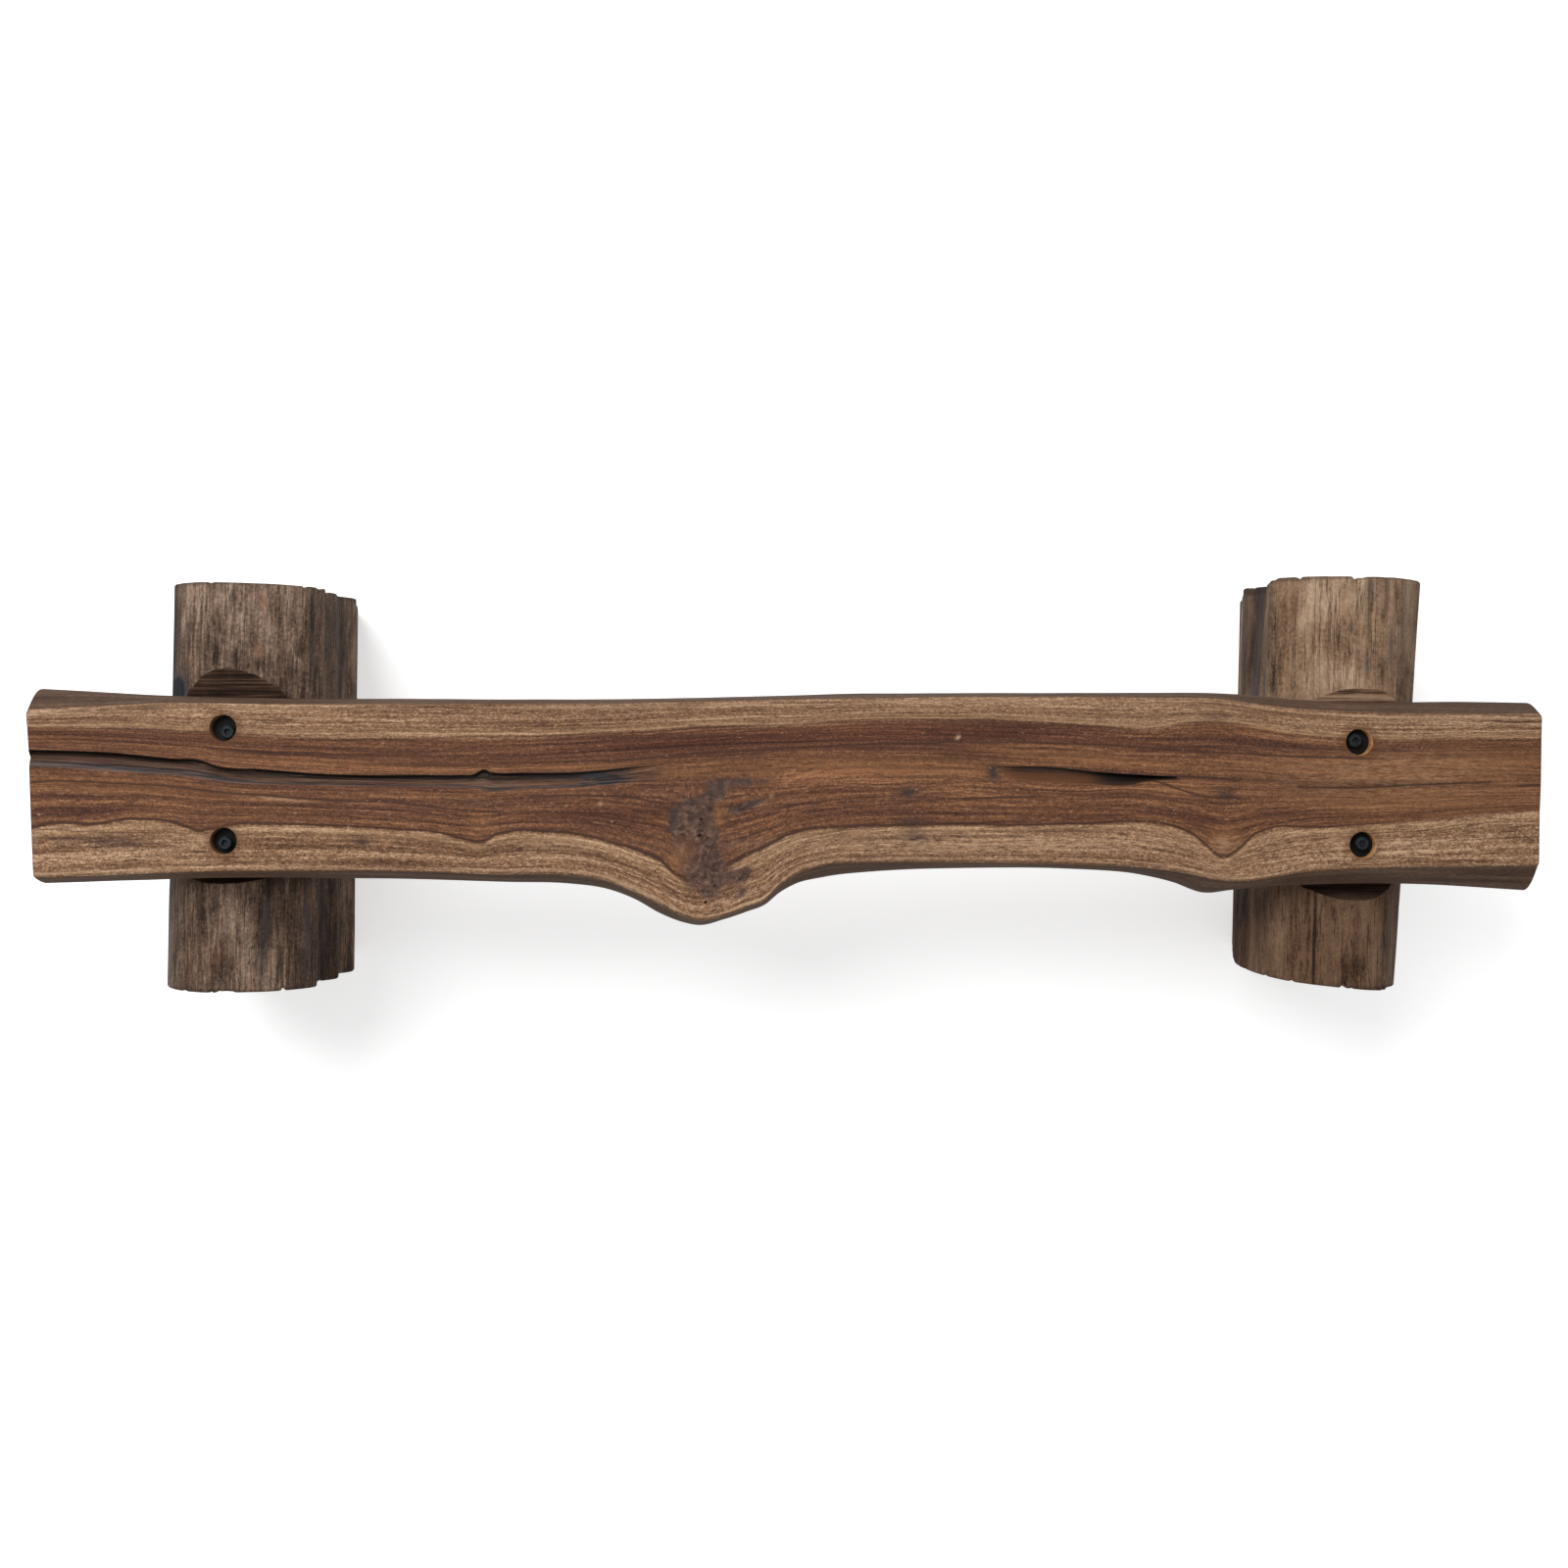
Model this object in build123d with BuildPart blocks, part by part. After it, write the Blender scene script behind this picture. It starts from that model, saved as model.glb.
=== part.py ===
"""Rustic log bench: a live-edge teak plank bolted down into saddle notches in two fluted logs.

The logs lie across the bench, flat side down. Each has a notch sawn into its back, the plank
lies in both notches, and four cap screws go down through it into threaded inserts in the logs.

Frame: X along the bench, Y from front to back, Z up from the floor. The origin is on the floor,
in the middle of the bench's length and depth. Lengths are in millimetres, angles in degrees.
"""

import os
from math import cos, radians, sin, tan

from build123d import *

os.makedirs("parts", exist_ok=True)

# ------------------------------------------------------------------ the plank
seat_length = 1500.0
seat_width = 170.0  # across the top face, where the live edge neither swells nor hollows
seat_thickness = 75.0
seat_height = 430.0  # floor to top face
seat_line = -7.5  # Y of the plank's centre line
belly_depth = 40.0  # how far under the top face the plank is widest
underside_inset = 8.0  # how far the underside stays inside the belly
arris_ease = 3.0  # the sawn edges are rubbed down by this much
left_end_skew = 8.5  # the front corners stop short of the back ones, because the ends are
right_end_skew = 7.0  # sawn by eye

# Each row of a live edge is a station, as a share of the length from the middle, and how far
# the edge swells past half the width there: at the top face, then at the belly.
back_edge = [
    (-0.500, -18.5, 13.0),
    (-0.470, -11.5, 10.5),
    (-0.440, -6.0, 8.0),
    (-0.400, -4.5, 5.5),
    (-0.340, -4.0, 3.5),
    (-0.240, -3.5, 2.5),
    (-0.120, -3.0, 2.5),
    (-0.030, 0.0, 5.0),
    (0.060, 2.5, 8.0),
    (0.140, 3.5, 9.0),
    (0.240, 3.0, 9.0),
    (0.290, 1.0, 8.0),
    (0.315, -4.5, 6.0),
    (0.345, -9.0, 2.0),
    (0.395, -12.5, -0.5),
    (0.450, -13.5, -0.5),
    (0.500, -13.5, -1.5),
]
front_edge = [
    (-0.500, 5.5, 12.0),
    (-0.440, 2.5, 9.0),
    (-0.380, -0.5, 6.5),
    (-0.300, -1.5, 6.5),
    (-0.240, -0.5, 8.0),
    (-0.190, 2.0, 10.0),
    (-0.145, 2.5, 12.5),
    (-0.120, 8.0, 18.0),
    (-0.102, 18.5, 28.0),
    (-0.085, 30.5, 42.0),
    (-0.070, 42.0, 51.0),
    (-0.058, 47.0, 54.0),
    (-0.042, 43.0, 48.0),
    (-0.026, 34.0, 40.0),
    (-0.013, 26.0, 32.0),
    (-0.005, 14.0, 22.0),
    (0.005, 3.0, 13.5),
    (0.025, -7.0, 6.0),
    (0.060, -10.0, 0.0),
    (0.120, -10.0, -3.5),
    (0.190, -8.0, -3.0),
    (0.235, -5.0, 2.0),
    (0.262, 0.0, 11.0),
    (0.282, 6.5, 21.5),
    (0.300, 9.0, 19.0),
    (0.318, 6.5, 16.0),
    (0.342, 0.0, 14.0),
    (0.375, -3.5, 12.5),
    (0.430, -5.5, 13.0),
    (0.500, -6.5, 19.0),
]
AT_TOP, AT_BELLY = 1, 2  # columns of the live edges

# Each row of a check, which is a drying split, is a station, the offset of its steep back lip
# from the centre line, its width and its depth.
heart_check = [
    (-0.510, 37.0, 17.5, 14.0),
    (-0.444, 33.5, 18.0, 14.0),
    (-0.390, 26.0, 16.5, 14.0),
    (-0.373, 20.0, 14.0, 14.0),
    (-0.330, 14.5, 13.0, 13.0),
    (-0.253, 10.7, 12.0, 12.0),
    (-0.190, 12.0, 17.0, 11.0),
    (-0.130, 14.0, 12.0, 8.0),
    (-0.090, 19.0, 8.0, 4.0),
    (-0.070, 22.0, 2.0, 1.0),
]
right_check = [
    (0.140, 19.5, 4.0, 2.0),
    (0.180, 18.5, 12.0, 9.0),
    (0.210, 14.0, 11.5, 12.0),
    (0.235, 11.0, 7.0, 13.0),
    (0.250, 10.0, 3.0, 10.0),
    (0.270, 9.3, 1.0, 3.0),
]

# ------------------------------------------------------------------ the logs
log_width = 190.0
notch_depth = 25.0
floor_sink = 20.0  # how much of the round trunk was sawn away to make the flat underfoot
end_ease = 4.0  # rounding of the sawn log ends
ridge_height = seat_height - seat_thickness + notch_depth
notch_floor = ridge_height - notch_depth

# Each row of a log's outline is a height, as a share of the ridge's, and how far the bark side
# stands outward from the ridge, as a share of the log's width: at the front end, then the back.
left_outline = [
    (1.000, 0.000, 0.000),
    (0.987, 0.150, 0.150),
    (0.940, 0.262, 0.262),
    (0.874, 0.350, 0.355),
    (0.797, 0.382, 0.388),
    (0.705, 0.350, 0.355),
    (0.611, 0.415, 0.420),
    (0.535, 0.490, 0.480),
    (0.434, 0.440, 0.430),
    (0.330, 0.500, 0.505),
    (0.197, 0.465, 0.460),
    (0.126, 0.395, 0.400),
    (0.026, 0.325, 0.330),
    (-0.037, 0.200, 0.200),
    (-0.053, 0.000, 0.000),
    (-0.037, -0.170, -0.160),
    (0.026, -0.270, -0.250),
    (0.145, -0.335, -0.310),
    (0.258, -0.365, -0.345),
    (0.363, -0.340, -0.320),
    (0.470, -0.480, -0.440),
    (0.571, -0.400, -0.375),
    (0.663, -0.470, -0.415),
    (0.763, -0.375, -0.370),
    (0.860, -0.440, -0.440),
    (0.937, -0.330, -0.325),
    (0.982, -0.180, -0.180),
]
right_outline = [
    (1.000, 0.000, 0.000),
    (0.987, 0.137, 0.158),
    (0.940, 0.221, 0.274),
    (0.874, 0.290, 0.368),
    (0.797, 0.316, 0.405),
    (0.705, 0.300, 0.379),
    (0.611, 0.379, 0.432),
    (0.526, 0.421, 0.484),
    (0.434, 0.400, 0.442),
    (0.329, 0.442, 0.484),
    (0.197, 0.421, 0.442),
    (0.126, 0.358, 0.379),
    (0.026, 0.295, 0.305),
    (-0.037, 0.180, 0.190),
    (-0.053, -0.020, -0.020),
    (-0.037, -0.180, -0.180),
    (0.026, -0.210, -0.200),
    (0.145, -0.262, -0.250),
    (0.258, -0.315, -0.295),
    (0.363, -0.360, -0.305),
    (0.474, -0.405, -0.389),
    (0.571, -0.442, -0.316),
    (0.663, -0.453, -0.347),
    (0.763, -0.442, -0.379),
    (0.860, -0.400, -0.421),
    (0.937, -0.316, -0.326),
    (0.982, -0.180, -0.180),
]
AT_FRONT, AT_BACK = 1, 2  # columns of the outlines

# One leg each: side is -1 on the left and 1 on the right, overhang is from the plank's end to
# the log's ridge, and turn swings the log's front end to the right, seen from above. front and
# back are the Y of the ridge's two ends, lean tips both sawn ends back towards the floor, and
# the skews swing them in plan. Each slope of the notch starts a gap past the plank's underside
# and has a run.
legs = {
    "left": dict(
        side=-1, overhang=184.5, outline=left_outline, turn=-1.3, front=-217.5, back=200.0,
        lean=1.1, front_skew=0.0, back_skew=-1.5,
        front_gap=1.5, front_run=15.0, back_gap=8.0, back_run=30.0,
    ),
    "right": dict(
        side=1, overhang=168.0, outline=right_outline, turn=-1.3, front=-213.5, back=206.0,
        lean=1.6, front_skew=-5.0, back_skew=-1.0,
        front_gap=1.5, front_run=20.0, back_gap=7.0, back_run=16.0,
    ),
}

# ------------------------------------------------------------------ the fasteners
bolt_diameter = 8.0
bolt_clearance = 0.5  # radial, in the plank's hole
bolt_head_diameter = 13.0
bolt_head_height = 8.0
bolt_head_ease = 0.8
socket_flats = 6.0
socket_depth = 4.0
thread_length = 28.0
thread_pitch = 1.25
thread_depth = 0.7
tip_past_insert = 5.4
washer_diameter = 16.0
washer_thickness = 1.6
washer_clearance = 0.2  # radial, around the bolt
counterbore_diameter = 26.0
counterbore_depth = 14.0
insert_diameter = 14.0
insert_length = 22.0
insert_thread_pitch = 3.0
insert_thread_depth = 1.1
insert_flats = 8.6  # hexagon that a key drives it by
insert_drive_depth = 6.0
insert_clearance = 0.05  # radial, inside around the bolt and outside in the log
pilot_depth = 40.0  # under the notch floor, with room under the bolt's tip

# One bolt each: its leg, how far it stands from that log's ridge along the bench, its offset
# from the plank's centre line, and how far its counterbore wandered from its axis in X and Y.
bolts = {
    "left_back": ("left", 14.1, 54.3, -3.1, 3.4),
    "left_front": ("left", 11.5, -56.0, 0.0, 2.2),
    "right_back": ("right", -16.1, 45.5, 2.8, -1.5),
    "right_front": ("right", -9.0, -56.3, -0.7, -1.4),
}


def ridge_x(leg):
    """X of a log's ridge, half way along the log."""
    return leg["side"] * (seat_length / 2 - leg["overhang"])


def live_edge(table, column, side, inset):
    """Points of one live edge from left to right; side is 1 at the back and -1 at the front."""
    short_left, short_right = (0.0, 0.0) if side > 0 else (left_end_skew, right_end_skew)
    end_inset = min(inset, arris_ease)  # the ends are sawn upright
    left = -seat_length / 2 + short_left + end_inset
    right = seat_length / 2 - short_right - end_inset
    reach = seat_width / 2 - inset
    return [
        ((left + right) / 2 + row[0] * (right - left), seat_line + side * (reach + row[column]))
        for row in table
    ]


def underside_reach(table, side, leg):
    """The furthest Y that the plank's underside reaches over one log, at its front or back."""
    near, far = sorted(ridge_x(leg) + step * log_width / 2 for step in (-1, 1))
    over_log = [
        row[AT_BELLY] for row in table if near <= row[0] * seat_length <= far
    ]
    return seat_line + side * (seat_width / 2 + max(over_log) - underside_inset)


def check_cutter(table):
    """The wedge that a check leaves: a steep lip at its back and a floor that rises forward."""
    proud = 1.0
    with BuildPart() as wedge:
        for station, lip, width, depth in table:
            back, top = seat_line + lip, seat_height + proud
            with BuildSketch(Plane.YZ.offset(station * seat_length)):
                with BuildLine():
                    Polyline(
                        (back, top), (back - depth / 8, seat_height - depth),
                        (back - width, top), close=True,
                    )
                make_face()
        loft(ruled=True)
    return wedge.part


# ------------------------------------------------------------------ seat plank
splits = [check_cutter(heart_check), check_cutter(right_check)]
underside = seat_height - seat_thickness
plank_levels = [
    (underside, AT_BELLY, underside_inset + arris_ease),
    (underside + arris_ease, AT_BELLY, underside_inset),
    (seat_height - belly_depth, AT_BELLY, 0.0),
    (seat_height - arris_ease, AT_TOP, 0.0),
    (seat_height, AT_TOP, arris_ease),
]


def bolt_axis(name):
    """X and Y of a bolt."""
    leg_name, along, across = bolts[name][:3]
    return ridge_x(legs[leg_name]) + along, seat_line + across


with BuildPart() as seat_plank:
    for height, column, inset in plank_levels:
        with BuildSketch(Plane.XY.offset(height)):
            with BuildLine():
                back = Spline(*live_edge(back_edge, column, 1, inset))
                front = Spline(*live_edge(front_edge, column, -1, inset))
                Line(back @ 0, front @ 0)
                Line(back @ 1, front @ 1)
            make_face()
    loft(ruled=True)
    for split_cutter in splits:
        add(split_cutter, mode=Mode.SUBTRACT)
    for name, (_, _, _, wander_x, wander_y) in bolts.items():
        x, y = bolt_axis(name)
        with Locations((x + wander_x, y + wander_y, seat_height)):
            Hole(counterbore_diameter / 2, depth=counterbore_depth)
        with Locations((x, y, seat_height)):
            Hole(bolt_diameter / 2 + bolt_clearance, depth=seat_thickness)

seat_plank.part.label = "seat_plank"
export_step(seat_plank.part, "parts/seat_plank.step")


# ------------------------------------------------------------------ the two logs
def end_plane(leg, y, skew):
    """A plane across the log whose origin is on the ridge line at y; it leans and is skewed."""
    x = ridge_x(leg) + y * tan(radians(-leg["turn"]))
    lean = tan(radians(leg["lean"]))
    turn = radians(skew)
    return Plane(
        origin=(x, y, ridge_height),
        x_dir=(cos(turn), sin(turn), 0),
        z_dir=(sin(turn), -cos(turn), -cos(turn) * lean),
    )


def outline_points(leg, column, trim):
    """The log's outline in an end plane's own axes, drawn in by trim all round."""
    middle = -ridge_height / 2
    share = 1 - 2 * trim / log_width
    return [
        (leg["side"] * row[column] * log_width * share,
         middle + ((row[0] - 1) * ridge_height - middle) * share)
        for row in leg["outline"]
    ]


def leg_log(leg):
    """A fluted log with a flat foot, sawn ends, a saddle notch and bores for two inserts."""
    back, front = leg["back"], leg["front"]
    sections = [
        (back, leg["back_skew"], AT_BACK, end_ease),
        (back - end_ease, leg["back_skew"], AT_BACK, 0.0),
        (front + end_ease, leg["front_skew"], AT_FRONT, 0.0),
        (front, leg["front_skew"], AT_FRONT, end_ease),
    ]
    notch_back = underside_reach(back_edge, 1, leg) + leg["back_gap"]
    notch_front = underside_reach(front_edge, -1, leg) - leg["front_gap"]
    rise = 2 * notch_depth
    slope_back = leg["back_run"] * rise / notch_depth
    slope_front = leg["front_run"] * rise / notch_depth
    with BuildPart() as log:
        for y, skew, column, trim in sections:
            with BuildSketch(end_plane(leg, y, skew)):
                with BuildLine():
                    Spline(*outline_points(leg, column, trim), periodic=True)
                make_face()
        loft(ruled=True)
        split(bisect_by=Plane.XY, keep=Keep.TOP)
        with BuildSketch(Plane.YZ.offset(ridge_x(leg))):
            with BuildLine():
                Polyline(
                    (notch_front, notch_floor), (notch_back, notch_floor),
                    (notch_back + slope_back, notch_floor + rise),
                    (notch_front - slope_front, notch_floor + rise), close=True,
                )
            make_face()
        extrude(amount=log_width, both=True, mode=Mode.SUBTRACT)
        for name, (leg_name, *_) in bolts.items():
            if legs[leg_name] is leg:
                with Locations((*bolt_axis(name), notch_floor)):
                    Hole(insert_diameter / 2 + insert_clearance, depth=insert_length)
                    Hole(bolt_diameter / 2 + bolt_clearance, depth=pilot_depth)
    return log.part


for side_name, leg in legs.items():
    log_part = leg_log(leg)
    log_part.label = f"{side_name}_log"
    export_step(log_part, f"parts/{side_name}_log.step")


# ------------------------------------------------------------------ bolts, washers and inserts
def thread_profile(radius, depth, pitch, low, high):
    """Crest and root points up a thread, from its low end to its high end, as plain rings."""
    points = []
    for turn in range(int((high - low) / pitch)):
        points += [(radius - depth, low + turn * pitch), (radius, low + (turn + 0.5) * pitch)]
    return points


washer_seat = seat_height - counterbore_depth
head_seat = washer_seat + washer_thickness
bolt_tip = notch_floor - insert_length - tip_past_insert
head_top = head_seat + bolt_head_height

for name in bolts:
    x, y = bolt_axis(name)
    axis = Axis((x, y, 0), (0, 0, 1))
    upright = Plane(origin=(x, y, 0), x_dir=(1, 0, 0), z_dir=(0, -1, 0))

    with BuildPart() as washer:
        with BuildSketch(Plane.XY.offset(washer_seat)):
            with Locations((x, y)):
                Circle(washer_diameter / 2)
                Circle(bolt_diameter / 2 + washer_clearance, mode=Mode.SUBTRACT)
        extrude(amount=washer_thickness)

    with BuildPart() as bolt:
        with BuildSketch(upright):
            with BuildLine():
                Polyline(
                    (0, bolt_tip),
                    *thread_profile(bolt_diameter / 2, thread_depth, thread_pitch,
                                    bolt_tip, bolt_tip + thread_length),
                    (bolt_diameter / 2 - thread_depth, bolt_tip + thread_length),
                    (bolt_diameter / 2, bolt_tip + thread_length + thread_depth),
                    (bolt_diameter / 2, head_seat),
                    (bolt_head_diameter / 2, head_seat),
                    (bolt_head_diameter / 2, head_top - bolt_head_ease),
                    (bolt_head_diameter / 2 - bolt_head_ease, head_top),
                    (0, head_top), close=True,
                )
            make_face()
        revolve(axis=axis)
        with BuildSketch(Plane.XY.offset(head_top)):
            with Locations((x, y)):
                RegularPolygon(socket_flats / 2, 6, major_radius=False)
        extrude(amount=-socket_depth, mode=Mode.SUBTRACT)

    with BuildPart() as insert:
        with BuildSketch(upright):
            with BuildLine():
                Polyline(
                    (bolt_diameter / 2 + insert_clearance, notch_floor - insert_length),
                    *thread_profile(insert_diameter / 2, insert_thread_depth, insert_thread_pitch,
                                    notch_floor - insert_length, notch_floor),
                    (insert_diameter / 2 - insert_thread_depth, notch_floor),
                    (bolt_diameter / 2 + insert_clearance, notch_floor), close=True,
                )
            make_face()
        revolve(axis=axis)
        with BuildSketch(Plane.XY.offset(notch_floor)):
            with Locations((x, y)):
                RegularPolygon(insert_flats / 2, 6, major_radius=False)
        extrude(amount=-insert_drive_depth, mode=Mode.SUBTRACT)

    for kind, piece in (("washer", washer), ("bolt", bolt), ("insert", insert)):
        piece.part.label = f"{kind}_{name}"
        export_step(piece.part, f"parts/{kind}_{name}.step")
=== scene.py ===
# %% [markdown]
# # A rustic log bench
#
# A thick live-edge plank of teak lies in saddle notches in two fluted logs, and four cap screws
# hold it down. The construction comes ready-made from the CAD model, which is the frame here.
# This lesson gives the timber its real surface: the checks, the knot, the furrows and the saw
# marks as geometry, and the figure of the wood as procedural materials.

# %% Load the frame
from math import pi, radians, tan
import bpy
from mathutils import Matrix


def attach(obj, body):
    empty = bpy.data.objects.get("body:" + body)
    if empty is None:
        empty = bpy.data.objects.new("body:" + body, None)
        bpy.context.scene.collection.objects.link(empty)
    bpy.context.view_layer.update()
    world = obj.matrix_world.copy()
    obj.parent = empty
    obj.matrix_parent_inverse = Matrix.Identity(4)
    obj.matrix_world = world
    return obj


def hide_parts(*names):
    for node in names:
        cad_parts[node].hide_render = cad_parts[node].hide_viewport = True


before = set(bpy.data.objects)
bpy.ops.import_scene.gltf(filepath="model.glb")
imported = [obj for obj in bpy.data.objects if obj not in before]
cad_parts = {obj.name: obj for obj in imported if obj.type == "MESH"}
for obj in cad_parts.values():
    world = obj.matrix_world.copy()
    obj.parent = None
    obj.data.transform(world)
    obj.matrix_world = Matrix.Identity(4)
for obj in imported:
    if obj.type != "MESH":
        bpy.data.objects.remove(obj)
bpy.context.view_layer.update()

from types import SimpleNamespace

import bmesh
import bpy
import numpy as np
from mathutils import Vector

# %% [markdown]
# ## Camera, light and floor
#
# The bench is looked at from straight above, so the camera stands over its middle with the
# bench's back at the top of the picture. A large soft lamp stands behind the bench and a little
# to the left. It leaves the front of each log, and the steep back lip of each split, in shade.
# The floor is a plain pale sheet. It fades to white far from the bench.

# %% Camera
CAMERA_HEIGHT = 2.39
CAMERA_Y = -0.005
LENS_MM = 45.54

camera_data = bpy.data.cameras.new("overhead_camera")
camera_data.lens = LENS_MM
camera_data.sensor_width = 36.0
camera = bpy.data.objects.new("overhead_camera", camera_data)
camera.location = (0.0, CAMERA_Y, CAMERA_HEIGHT)
bpy.context.scene.collection.objects.link(camera)
bpy.context.scene.camera = camera
bpy.context.scene.view_settings.view_transform = "Standard"
print("camera", tuple(camera.location), "lens", LENS_MM)


# %% Colours and node trees
def colour(red, green, blue):
    """An 8-bit colour as a shader takes it: each share c becomes ((c + 0.055) / 1.055) ** 2.4."""
    share = (np.array([red, green, blue]) / 255 + 0.055) / 1.055
    return (*(share ** 2.4).tolist(), 1.0)


class Value:
    """An output of a node tree. With numbers or other outputs, +, - and * make math nodes."""

    def __init__(self, finish, socket):
        self.finish, self.socket = finish, socket

    def __add__(self, other):
        return self.finish.math("ADD", self, other)

    def __sub__(self, other):
        return self.finish.math("SUBTRACT", self, other)

    def __rsub__(self, other):
        return self.finish.math("SUBTRACT", other, self)

    def __mul__(self, other):
        return self.finish.math("MULTIPLY", self, other)

    __radd__, __rmul__ = __add__, __mul__


class Finish:
    """The node tree of one material, with a short call for each node that the finishes use.

    Its base is the colour so far. Each call of lay puts another colour on it.
    """

    def __init__(self, owner):
        self.tree = owner.node_tree
        self.tree.nodes.clear()
        self.base = None

    def add(self, kind, inputs=(), output=0, **settings):
        """A node with its settings, and its inputs from pairs of a name and a value."""
        node = self.tree.nodes.new(kind)
        for name, value in settings.items():
            setattr(node, name, value)
        for name, value in dict(inputs).items():
            if isinstance(value, Value):
                self.tree.links.new(value.socket, node.inputs[name])
            else:
                node.inputs[name].default_value = value
        return Value(self, node.outputs[output]) if node.outputs else None

    def math(self, operation, *values):
        """One sum, product or other operation on numbers."""
        return self.add("ShaderNodeMath", enumerate(values), operation=operation)

    def vector(self, operation, *values, output="Vector"):
        """One operation on vectors."""
        return self.add("ShaderNodeVectorMath", enumerate(values), output, operation=operation)

    def step(self, value, low, high):
        """0 below low, 1 above high, and a smooth step between. low may be the larger."""
        return self.add("ShaderNodeMapRange", {0: value, 1: low, 2: high},
                        interpolation_type="SMOOTHSTEP")

    def line(self, distance, half_width):
        """1 on a line and 0 further off than its half width, from a signed distance."""
        return self.step(self.math("ABSOLUTE", distance), half_width, half_width * 0.15)

    def mix(self, share, under, over, blend="MIX"):
        """Colour `over` laid on colour `under` by a share, which counts as 1 above 1."""
        under, over = [colour(*c) if isinstance(c, tuple) else c for c in (under, over)]
        return self.add("ShaderNodeMix", {0: share, 6: under, 7: over}, 2,
                        data_type="RGBA", blend_type=blend)

    def lay(self, share, over, blend="MIX"):
        """Lays a colour on the base by a share."""
        self.base = self.mix(share, self.base, over, blend)

    def noise(self, vector, scale, detail=3.0, roughness=0.55, distortion=0.0):
        """Fractal noise from 0 to 1; scale is cycles per metre along each axis."""
        return self.add(
            "ShaderNodeTexNoise",
            {"Vector": self.vector("MULTIPLY", vector, scale), "Scale": 1.0, "Detail": detail,
             "Roughness": roughness, "Distortion": distortion},
        )

    def layers(self, vector, table):
        """A noise for each row of a table of names and settings, as a namespace."""
        return SimpleNamespace(**{name: self.noise(vector, *row) for name, row in table.items()})

    def tone(self, layers, **gains):
        """A tone round 0.5: 0.5 plus each layer's own distance from 0.5 times its gain."""
        total = 0.5
        for name, gain in gains.items():
            total = (getattr(layers, name) - 0.5) * gain + total
        return total

    def ramp(self, value, *stops):
        """A colour ramp from rows of a place, red, green and blue."""
        output = self.add("ShaderNodeValToRGB", {0: value})
        elements = output.socket.node.color_ramp.elements
        for index, (place, *rgb) in enumerate(stops):
            element = elements[index] if index < 2 else elements.new(place)
            element.position = place
            element.color = colour(*rgb)
        return output

    def attribute(self, name, output="Vector"):
        """A value that the mesh carries at its vertices."""
        return self.add("ShaderNodeAttribute", output=output, attribute_name=name)

    def place(self):
        """The point's place in metres."""
        return self.add("ShaderNodeTexCoord", output="Object")

    def parts(self, vector):
        """The three numbers of a vector."""
        node = self.add("ShaderNodeSeparateXYZ", {0: vector}).socket.node
        return [Value(self, socket) for socket in node.outputs]

    def join(self, x, y=0.0, z=0.0):
        """A vector from three numbers."""
        return self.add("ShaderNodeCombineXYZ", {0: x, 1: y, 2: z})

    def surface(self, roughness, height, distance, **constants):
        """Ends the tree with the shader: the base, roughness, and a height for its bump."""
        normal = self.add("ShaderNodeBump",
                          {"Height": height, "Distance": distance, "Strength": 1.0})
        shader = self.add("ShaderNodeBsdfPrincipled",
                          {"Base Color": self.base, "Roughness": roughness, "Normal": normal,
                           **constants})
        self.add("ShaderNodeOutputMaterial", {"Surface": shader})


def material(name):
    """A new material, and the Finish that builds its node tree."""
    made = bpy.data.materials.new(name)
    made.use_nodes = True
    return made, Finish(made)


# %% World, lamp and floor
WHITE = (1.0, 1.0, 1.0, 1.0)
AMBIENT = 0.40  # strength of the even light from all round
LAMP_WATTS = 95.0
LAMP_PLACE = (-0.9, 1.25, 3.3)
LAMP_AIM = (0.0, 0.0, 0.4)
LAMP_SIZE = 1.8
FLOOR_SIZE = 14.0
FLOOR_PALE = colour(236, 236, 236)
NEAR_GLOW = 0.56  # what the floor adds of its own close to the bench
GLOW_REACH = 0.6, 1.7  # distances between which the floor fades to white

world = bpy.data.worlds.new("soft_room")
world.use_nodes = True
room = Finish(world)
seen = 0.0
for kind in ("Camera", "Glossy", "Transmission"):
    seen = room.math("MAXIMUM", room.add("ShaderNodeLightPath", output=f"Is {kind} Ray"), seen)
background = room.add("ShaderNodeBackground",
                      {"Color": WHITE, "Strength": seen * (1.0 - AMBIENT) + AMBIENT})
room.add("ShaderNodeOutputWorld", {"Surface": background})
bpy.context.scene.world = world

lamp_data = bpy.data.lights.new("soft_lamp", "AREA")
lamp_data.shape = "DISK"
lamp_data.size = LAMP_SIZE
lamp_data.energy = LAMP_WATTS
lamp = bpy.data.objects.new("soft_lamp", lamp_data)
lamp.location = LAMP_PLACE
lamp.rotation_mode = "QUATERNION"
lamp.rotation_quaternion = (lamp.location - Vector(LAMP_AIM)).to_track_quat("Z", "Y")
bpy.context.scene.collection.objects.link(lamp)

half_floor = FLOOR_SIZE / 2
floor_mesh = bpy.data.meshes.new("floor")
floor_mesh.from_pydata(
    [(-half_floor, -half_floor, 0), (half_floor, -half_floor, 0),
     (half_floor, half_floor, 0), (-half_floor, half_floor, 0)], [], [(0, 1, 2, 3)])
floor = bpy.data.objects.new("floor", floor_mesh)
bpy.context.scene.collection.objects.link(floor)
floor_material, sheet = material("pale_floor")
far = sheet.step(sheet.vector("LENGTH", sheet.place(), output="Value"), *GLOW_REACH)
glow = far * (1.0 - NEAR_GLOW) + NEAR_GLOW
glow = glow * sheet.add("ShaderNodeLightPath", output="Is Camera Ray")
matt = sheet.add("ShaderNodeBsdfDiffuse", {"Color": FLOOR_PALE})
shine = sheet.add("ShaderNodeEmission", {"Color": WHITE, "Strength": glow})
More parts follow.
